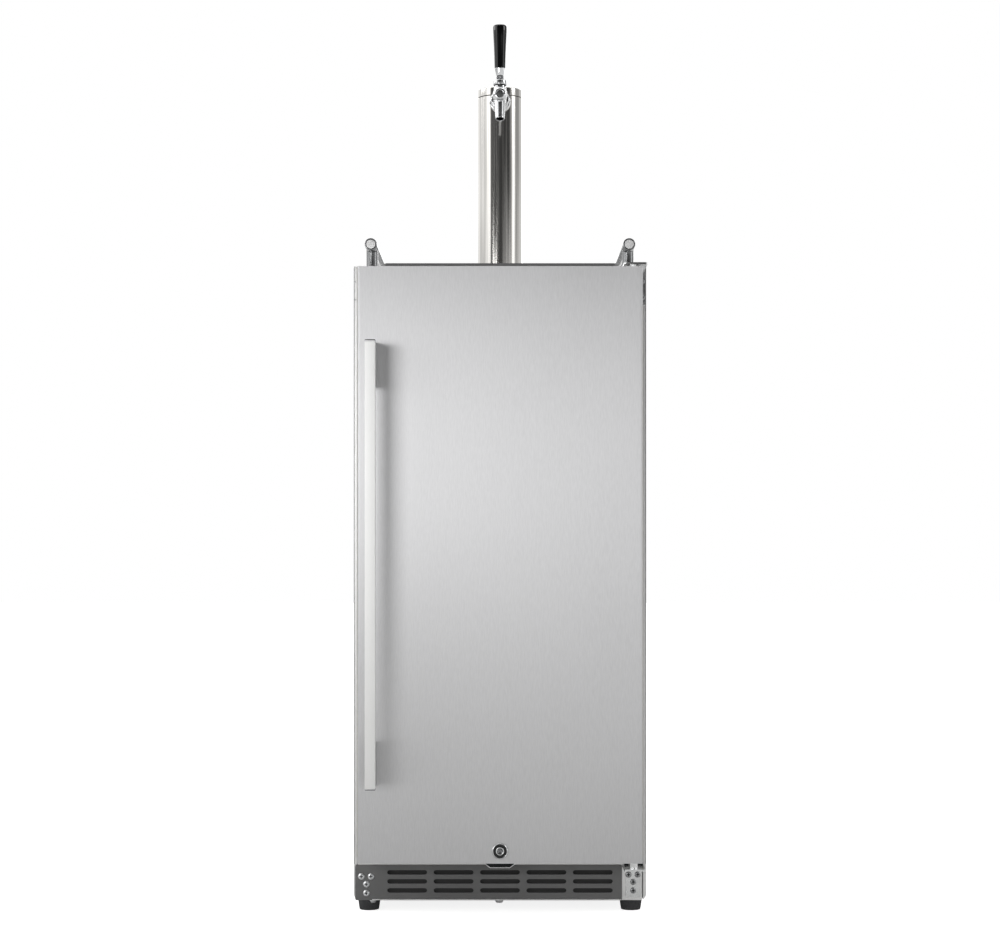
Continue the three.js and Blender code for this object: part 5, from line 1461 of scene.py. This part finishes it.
@dataclass
class TapHandle(Assembly):
    """What tilts when beer is drawn: lever with its ball and black dome, knurled nut, ferrule and grip."""

    pivot: float = 1112.1
    ball: float = 4.4
    stem: float = 2.6
    dome_radius: float = 7.2
    dome_top: float = 66.0
    nut_foot: float = 1119.2
    nut_height: float = 4.0
    nut_radius: float = 5.0
    nut_knurls: int = 24

    def build(self) -> None:
        """Builds the pieces from the lever's foot upwards."""
        axis = (0.0, VALVE_Y, 0.0)
        self.build_lever(axis)
        self.build_grip(axis)

    def build_lever(self, axis: Point) -> None:
        """Builds the lever with its ball, the dome over the ball and the nut.

        Args:
            axis: the handle's axis at height 0.
        """
        low, high = node_box("tap_lever")
        lever = [(0, low.z), (1.6, low.z), (2.2, low.z + 0.7), (2.2, self.pivot - 5.2)]
        lever += arc((0.0, self.pivot), self.ball, -58, 52, 12)
        lever += [(self.stem, self.pivot + 4.2), (self.stem, high.z), (0, high.z)]
        made = lathe("lever_turned", lever, axis, sides=48)
        place_piece(made, "tap", CHROME, ("tap_lever",))
        # The black dome over the ball also stands for painted shade: it fills the gap under the nut with black.
        dome = [(self.stem, self.pivot + 4.0)]
        dome += arc((0.0, self.pivot), self.dome_radius, 37, self.dome_top, 8)
        dome += [(self.stem, self.pivot + self.dome_radius * math.sin(math.radians(self.dome_top)))]
        place_piece(lathe("lever_dome", dome, axis, sides=64), "tap", BLACK_ABS)
        # Painted shade: the knurled nut takes the darker grey steel.
        foot, top, r = self.nut_foot, self.nut_foot + self.nut_height, self.nut_radius
        nut = eased([(self.stem, foot, 0), (r - 0.5, foot, 0.2), (r, foot + 0.6, 0.3), (r, top - 0.6, 0.3),
                     (r - 0.5, top, 0.2), (self.stem, top, 0)])
        made = lathe("lever_nut", nut, axis, flutes=self.nut_knurls, flute_depth=0.35)
        place_piece(made, "tap", SHADOW_STEEL)

    def build_grip(self, axis: Point) -> None:
        """Builds the ferrule and the grip that it carries.

        Args:
            axis: the handle's axis at height 0.
        """
        low, high = node_box("tap_ferrule")
        ferrule = eased([(0, low.z, 0), (4.7, low.z, 0.2), (5.3, low.z + 0.5, 0.3), (7.4, high.z - 0.4, 0.3),
                         (7.1, high.z, 0.2), (0, high.z, 0)])
        place_piece(lathe("grip_ferrule", ferrule, axis), "tap", CHROME, ("tap_ferrule",))
        low, high = node_box("tap_handle")
        grip = [(0, low.z), (7.2, low.z), (7.6, low.z + 0.5), (8.0, low.z + 15), (8.55, low.z + 30),
                (9.25, low.z + 43), (9.65, high.z - 9.0), (9.7, high.z - 4.2), (9.55, high.z - 2.7),
                (9.1, high.z - 1.5), (8.2, high.z - 0.7), (6.6, high.z - 0.25), (3.1, high.z - 0.05),
                (0, high.z)]
        made = lathe("grip_moulded", grip, axis, sides=128)
        place_piece(made, "tap", GLOSS_ABS, ("tap_handle",))


@dataclass
class BeerLine(Assembly):
    """The line in the tower: a steel elbow on the shank's tail, a clear hose and its hexagonal end nut."""

    start: Point = (0.0, 58.85, 1096.5)
    lead: float = 4.0
    bend: float = 14.0
    radius: float = 4.0
    straight: float = 8.0
    hose_gap: float = 0.3
    end: float = 780.0
    nut_radius: float = 9.0
    stations: int = 20

    def build(self) -> None:
        """Builds the elbow, the hose and the nut."""
        x, y, z = self.start
        turn = y + self.lead
        elbow = [(x, y, z), (x, turn - 1.5, z)]
        quarter = reversed(arc((0.0, 0.0), self.bend, 0, 90, 10))
        elbow += [(x, turn + u, z - self.bend + v) for u, v in quarter]
        low_end = z - self.bend - self.straight
        elbow.append((x, turn + self.bend, low_end))
        bent = tube("line_elbow", elbow, self.radius, 24)
        place_piece(bent, "cabinet", CHROME, ("beer_line",))
        down, top = turn + self.bend, low_end - self.hose_gap
        length = top - self.end
        path = [(x, down, top - length * i / self.stations) for i in range(self.stations + 1)]
        hose = tube("line_hose", path, self.radius, 24)
        place_piece(hose, "cabinet", HOSE)
        half, low, high = self.nut_radius, node_box("beer_line")[0].z, self.end - 0.01
        profile = [(0, low), (half - 1.2, low), (half, low + 0.8), (half, self.end - 0.8), (half - 1.2, high),
                   (0, high)]
        nut = lathe("line_nut", profile, (x, down, 0.0), sides=6)
        place_piece(nut, "cabinet", CHROME)


@dataclass
class DripTray(Assembly):
    """The drip tray in front of the tower, with its slotted grate."""

    tray_edge: float = 0.4
    grate_edge: float = 0.2

    def dress(self) -> None:
        """Finishes the tray and the grate."""
        dress_node("drip_tray", BLACK_ABS, self.tray_edge)
        dress_node("drip_grate", GRATE_STEEL, self.grate_edge)


@dataclass
class KegCompartment(Assembly):
    """The white liner, the evaporator behind its cover and wire guard, and the thermostat with its dial."""

    fan_height: float = 710.0
    guard_rings: tuple[float, ...] = (18.0, 25.0, 32.0, 39.0, 45.5)
    guard_facets: int = 48
    wire: float = 0.9
    screw_inset: float = 8.0
    dial_ticks: int = 8
    dial_start: float = 225.0
    dial_sweep: float = 270.0
    tick_span: tuple[float, float] = (14.6, 16.2)
    pointer_span: tuple[float, float] = (4.0, 12.0)

    def build(self) -> None:
        """Builds the guard, the dial's marks and the cover's screws."""
        low, high = node_box("evaporator_cover")
        face = low.y + self.wire + 0.2
        rings = []
        for radius in self.guard_rings:
            circle = closed_arc(radius, self.guard_facets)
            rings.append(tube(f"guard_ring_{radius:.0f}", [(x, face, self.fan_height + z) for x, z in circle],
                              self.wire, 8, True))
        place_piece(merge("fan_guard_rings", rings), "cabinet", WHITE_HIPS)
        inset = self.screw_inset
        places = tuple((x, low.y, z) for x in (low.x + inset, high.x - inset)
                       for z in (low.z + inset, high.z - inset))
        PanScrews("cover_corner_screw", places, radius=3.0, height=1.4).build()
        self.build_dial()

    def build_dial(self) -> None:
        """Builds the dial's ticks on the housing and the pointer on the knob."""
        face = node_box("thermostat_housing")[0].y
        low, high = node_box("thermostat_knob")
        centre = (low.z + high.z) / 2
        inner, outer = self.tick_span
        ticks = []
        for index in range(self.dial_ticks):
            angle = math.radians(self.dial_start - self.dial_sweep * index / (self.dial_ticks - 1))
            across = Vector((math.cos(angle), math.sin(angle)))
            # The ticks grow wider towards the cold end, as a mark that needs no words.
            side = across.orthogonal() * (0.25 + 0.06 * index)
            corners = (across * inner - side, across * outer - side,
                       across * outer + side, across * inner + side)
            outline = [(corner.x, centre + corner.y) for corner in corners]
            ticks.append(prism(f"tick_{index}", outline, (face - 0.15, face + 0.1), "y"))
        place_piece(merge("dial_ticks", ticks), "cabinet", BLACK_ABS)
        foot, tip = (centre + reach for reach in self.pointer_span)
        pointer = prism("dial_pointer", rounded_outline((-0.8, 0.8), (foot, tip), 0.7, 4),
                        (low.y - 0.2, low.y + 0.3), "y")
        place_piece(soften(pointer, 0.12), "knob", BLACK_ABS)

    def dress(self) -> None:
        """Finishes the compartment's solids."""
        dress_node("inner_liner", WHITE_HIPS)
        dress_node("evaporator_cover", WHITE_HIPS, 0.4)
        dress_node("evaporator_coil", ALUMINIUM)
        dress_node("evaporator_fan", WHITE_HIPS, 0.2)
        dress_node("thermostat_housing", WHITE_HIPS, 0.8)
        dress_node("thermostat_knob", WHITE_HIPS, 0.4)


@dataclass
class MachineSpace(Assembly):
    """What cools the cabinet: compressor, condenser and fan, drain pan, and the power inlet with its pins."""

    seam_radius: float = 62.2
    seam_height: float = 86.0
    seam_wire: float = 1.6
    seam_facets: int = 60
    shell_offset: float = 11.0
    pin_width: float = 2.0
    pin_tall: float = 4.0
    pin_pitch: float = 6.5
    pin_depth: float = 15.0
    pin_length: float = 10.2
    skin: float = 0.15

    def build(self) -> None:
        """Builds the compressor's weld seam and the inlet's metal pins."""
        low, high = node_box("compressor")
        x, y = (low.x + high.x) / 2 - self.shell_offset, (low.y + high.y) / 2
        path = [(x + u, y + v, self.seam_height) for u, v in closed_arc(self.seam_radius, self.seam_facets)]
        seam = tube("compressor_seam", path, self.seam_wire, 8, True)
        place_piece(seam, "cabinet", SHELL_ENAMEL)
        self.build_pins()

    def build_pins(self) -> None:
        """Builds sleeves over the inlet's three pins, the middle one above the others."""
        low, high = node_box("power_inlet")
        middle, start = (low.x + high.x) / 2, high.y - self.pin_depth
        half, tall = self.pin_width / 2 + self.skin, self.pin_tall / 2 + self.skin
        for name, place in (("left", -1), ("middle", 0), ("right", 1)):
            x = middle + place * self.pin_pitch
            z = (low.z + high.z) / 2 + (self.pin_tall / 2 if place == 0 else -self.pin_tall / 2)
            outline = rounded_outline((x - half, x + half), (z - tall, z + tall), 0.4, 3)
            sleeve = prism(f"inlet_pin_{name}", outline, (start, start + self.pin_length), "y")
            place_piece(soften(sleeve, 0.25), "cabinet", CHROME)

    def dress(self) -> None:
        """Finishes the machine's solids."""
        dress_node("compressor", SHELL_ENAMEL)
        dress_node("condenser_coil", BLACK_COAT)
        dress_node("condenser_fan", BLACK_ABS)
        dress_node("fan_shroud", ALUMINIUM, 0.2)
        dress_node("drain_pan", BLACK_ABS, 0.4)
        dress_node("power_inlet", BLACK_ABS, 0.3)


@dataclass(frozen=True)
class Softbox:
    """A rectangular soft lamp: where it hangs, its width and height in metres and its power in watts."""

    name: str
    place: Point
    width: float
    height: float
    power: float


@dataclass
class Studio:
    """Camera, soft lamps, a pale floor and the white room behind."""

    camera_place: Point = (0.0, -3.1275, 0.480)
    lens: float = 81.0
    sensor: float = 36.0
    shift_up: float = 0.0715
    floor_reach: float = 14.0
    lamps: tuple[Softbox, ...] = (
        Softbox("softbox_key", (-1.5, -3.0, 0.8), 1.3, 0.9, 18.2),
        Softbox("softbox_left", (-2.95, 0.52, 2.25), 1.6, 0.9, 18.0),
        Softbox("softbox_right", (2.9, -0.78, 2.2), 0.9, 0.9, 10.0),
        Softbox("softbox_top", (0.0, 0.2, 3.1), 2.2, 2.2, 19.0),
        Softbox("softbox_back", (0.6, 2.9, 2.0), 1.8, 1.8, 22.0),
    )
    aim: Point = (0.0, 0.0, 0.6)
    # Azimuth in degrees, 0 in front, and brightness. The tower and the tap mirror the high ring.
    walls: Pairs = (
        (-180, 1.7), (-150, 1.2), (-124, 1.05), (-105, 0.95), (-90, 1.0), (-76, 1.2), (-66, 1.8), (-54, 1.8),
        (-48, 0.3), (-44, 0.06), (50, 0.06), (60, 0.4), (66, 1.0), (70, 1.8), (78, 1.8), (84, 0.6), (92, 0.36),
        (106, 0.38), (124, 0.7), (151, 1.0), (180, 1.5))
    # The door and the bar mirror the low ring.
    low_walls: Pairs = (
        (-180, 0.5), (-40, 0.36), (-16, 0.4), (-12, 0.08), (12, 0.08), (17, 1.05), (60, 1.3), (180, 0.5))
    # The rise of a reflected ray at which the low ring begins to end, and at which the high ring takes over.
    wall_foot: tuple[float, float] = (0.06, 0.14)
    # The room's light on all that isn't a mirror.
    fill: float = 0.42
    floor_paint: str = "#e4e4e2"
    floor_mirrored: str = "#d6d6d5"
    # Each fade: nearest and farthest distance from the object in metres, and the glow at both.
    floor_seen: tuple[float, float, float, float] = (0.3, 1.5, 0.85, 1.0)
    floor_glow: tuple[float, float, float, float] = (1.2, 3.5, 0.08, 0.42)

    def build(self) -> None:
        """Builds the whole studio."""
        self.build_camera()
        self.build_lamps()
        self.build_floor()
        self.build_room()
        bpy.context.scene.view_settings.view_transform = "Standard"

    def build_camera(self) -> None:
        """Sets the camera level in front of the door, shifted up."""
        camera = bpy.data.cameras.new("camera")
        camera.lens = self.lens
        camera.sensor_width = self.sensor
        camera.shift_y = self.shift_up
        made = bpy.data.objects.new("camera", camera)
        made.location = self.camera_place
        made.rotation_euler = (math.radians(90), 0.0, 0.0)
        bpy.context.scene.collection.objects.link(made)
        bpy.context.scene.camera = made

    def build_lamps(self) -> None:
        """Hangs the soft lamps and turns them to the cabinet."""
        for softbox in self.lamps:
            lamp = bpy.data.lights.new(softbox.name, "AREA")
            lamp.shape = "RECTANGLE"
            lamp.size = softbox.width
            lamp.size_y = softbox.height
            lamp.energy = softbox.power
            made = bpy.data.objects.new(softbox.name, lamp)
            made.location = softbox.place
            beam = Vector(self.aim) - Vector(softbox.place)
            made.rotation_euler = beam.to_track_quat("-Z", "Y").to_euler()
            bpy.context.scene.collection.objects.link(made)

    def build_floor(self) -> None:
        """Lays a pale floor that looks white from far away and keeps the shadow near the object."""
        reach = self.floor_reach
        mesh = bpy.data.meshes.new("studio_floor")
        mesh.from_pydata([(-reach, -reach, 0), (reach, -reach, 0), (reach, reach, 0), (-reach, reach, 0)], [],
                         [(0, 1, 2, 3)])
        floor = new_object("studio_floor", mesh)
        material = bpy.data.materials.new("studio_floor_paint")
        material.use_nodes = True
        tree = material.node_tree
        tree.nodes.clear()
        path = add_node(tree, "ShaderNodeLightPath")
        place = add_node(tree, "ShaderNodeTexCoord")
        length = add_node(tree, "ShaderNodeVectorMath", {"operation": "LENGTH"},
                          Vector=place.outputs["Object"]).outputs["Value"]
        near, far = (self.fade(tree, length, ends) for ends in (self.floor_seen, self.floor_glow))
        seen = add_node(tree, "ShaderNodeMath", {"operation": "MULTIPLY"}, _0=near,
                        _1=path.outputs["Is Camera Ray"])
        glow = add_node(tree, "ShaderNodeMath", {"operation": "MULTIPLY_ADD"}, _0=far,
                        _1=path.outputs["Is Glossy Ray"], _2=seen.outputs["Value"])
        paints = {"data_type": "RGBA", 6: linear(self.floor_paint), 7: linear(self.floor_mirrored)}
        paint = add_node(tree, "ShaderNodeMix", paints, _0=path.outputs["Is Glossy Ray"])
        settings = {"Roughness": 0.85, "Emission Color": (1, 1, 1, 1)}
        shader = add_node(tree, "ShaderNodeBsdfPrincipled", settings, Base_Color=paint.outputs[2],
                          Emission_Strength=glow.outputs["Value"])
        add_node(tree, "ShaderNodeOutputMaterial", Surface=shader.outputs["BSDF"])
        mesh.materials.append(material)

    def fade(self, tree: bpy.types.NodeTree, distance: bpy.types.NodeSocket,
             ends: tuple[float, float, float, float]) -> bpy.types.NodeSocket:
        """Turns a distance to a glow.

        Args:
            tree: node tree of the floor.
            distance: output that gives the distance.
            ends: nearest and farthest distance, and the glow at both.

        Returns:
            The output socket with the glow.
        """
        settings = dict(zip(("From Min", "From Max", "To Min", "To Max"), ends))
        return add_node(tree, "ShaderNodeMapRange", settings, Value=distance).outputs["Result"]

    def build_room(self) -> None:
        """Makes the room: white to the eye, pale walls to reflections and an even fill to everything else."""
        world = bpy.data.worlds.new("studio_room")
        bpy.context.scene.world = world
        world.use_nodes = True
        tree = world.node_tree
        tree.nodes.clear()
        path = add_node(tree, "ShaderNodeLightPath")
        reflected = add_node(tree, "ShaderNodeBackground", {"Strength": 1.0}, Color=self.build_walls(tree))
        around = add_node(tree, "ShaderNodeBackground", {"Color": (1, 1, 1, 1), "Strength": self.fill})
        white = add_node(tree, "ShaderNodeBackground", {"Color": (1, 1, 1, 1), "Strength": 1.0})
        glossy = add_node(tree, "ShaderNodeMixShader", None, _0=path.outputs["Is Glossy Ray"],
                          _1=around.outputs["Background"], _2=reflected.outputs["Background"])
        clear = add_node(tree, "ShaderNodeMath", {"operation": "MAXIMUM"}, _0=path.outputs["Is Camera Ray"],
                         _1=path.outputs["Is Transmission Ray"])
        final = add_node(tree, "ShaderNodeMixShader", None, _0=clear.outputs["Value"],
                         _1=glossy.outputs["Shader"], _2=white.outputs["Background"])
        add_node(tree, "ShaderNodeOutputWorld", None, Surface=final.outputs["Shader"])

    def build_walls(self, tree: bpy.types.NodeTree) -> bpy.types.NodeSocket:
        """Builds the walls that are seen only in reflections: a low ring under a high one.

        Args:
            tree: node tree of the room.

        Returns:
            The output socket with the walls' colour.
        """
        place = add_node(tree, "ShaderNodeTexCoord")
        axes = add_node(tree, "ShaderNodeSeparateXYZ", None, Vector=place.outputs["Generated"])
        front = add_node(tree, "ShaderNodeMath", {"operation": "MULTIPLY", 1: -1.0}, _0=axes.outputs["Y"])
        angle = add_node(tree, "ShaderNodeMath", {"operation": "ARCTAN2"}, _0=axes.outputs["X"],
                         _1=front.outputs["Value"])
        turn = add_node(tree, "ShaderNodeMapRange", {"From Min": -math.pi, "From Max": math.pi},
                        Value=angle.outputs["Value"]).outputs["Result"]
        upper, lower = (self.build_ring(tree, turn, stops) for stops in (self.walls, self.low_walls))
        foot, top = self.wall_foot
        high = add_node(tree, "ShaderNodeMapRange", {"From Min": foot, "From Max": top},
                        Value=axes.outputs["Z"]).outputs["Result"]
        both = add_node(tree, "ShaderNodeMix", {"data_type": "RGBA"}, _0=high, _6=lower, _7=upper)
        return both.outputs[2]

    def build_ring(self, tree: bpy.types.NodeTree, turn: bpy.types.NodeSocket,
                   stops: Pairs) -> bpy.types.NodeSocket:
        """Lays brightness along the turn round the object.

        Args:
            tree: node tree of the room.
            turn: share of a whole turn, with 0.5 in front.
            stops: pairs of azimuth in degrees, 0 in front, and brightness.

        Returns:
            The output socket with the brightness.
        """
        ramp = add_node(tree, "ShaderNodeValToRGB", None, Fac=turn)
        elements = ramp.color_ramp.elements
        while len(elements) < len(stops):
            elements.new(0.5)
        for element, (azimuth, value) in zip(elements, stops):
            element.position = azimuth / 360 + 0.5
            element.color = (value, value, value, 1.0)
        return ramp.outputs["Color"]


def main() -> None:
    """Builds the studio, the pieces and the finishes in order."""
    logging.basicConfig(level=logging.INFO, format="%(name)s: %(message)s")
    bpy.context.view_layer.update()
    Studio().build()
    assemblies = (BeerLine(), Cabinet(), LevellingFeet(), Door(), BarHandle(), DoorLock(), Hinges(),
                  GuardRail(), Tower(), Faucet(), TapHandle(), DripTray(), KegCompartment(), MachineSpace())
    for assembly in assemblies:
        assembly.build()
    for assembly in assemblies:
        assembly.dress()


if __name__ == "__main__":
    main()
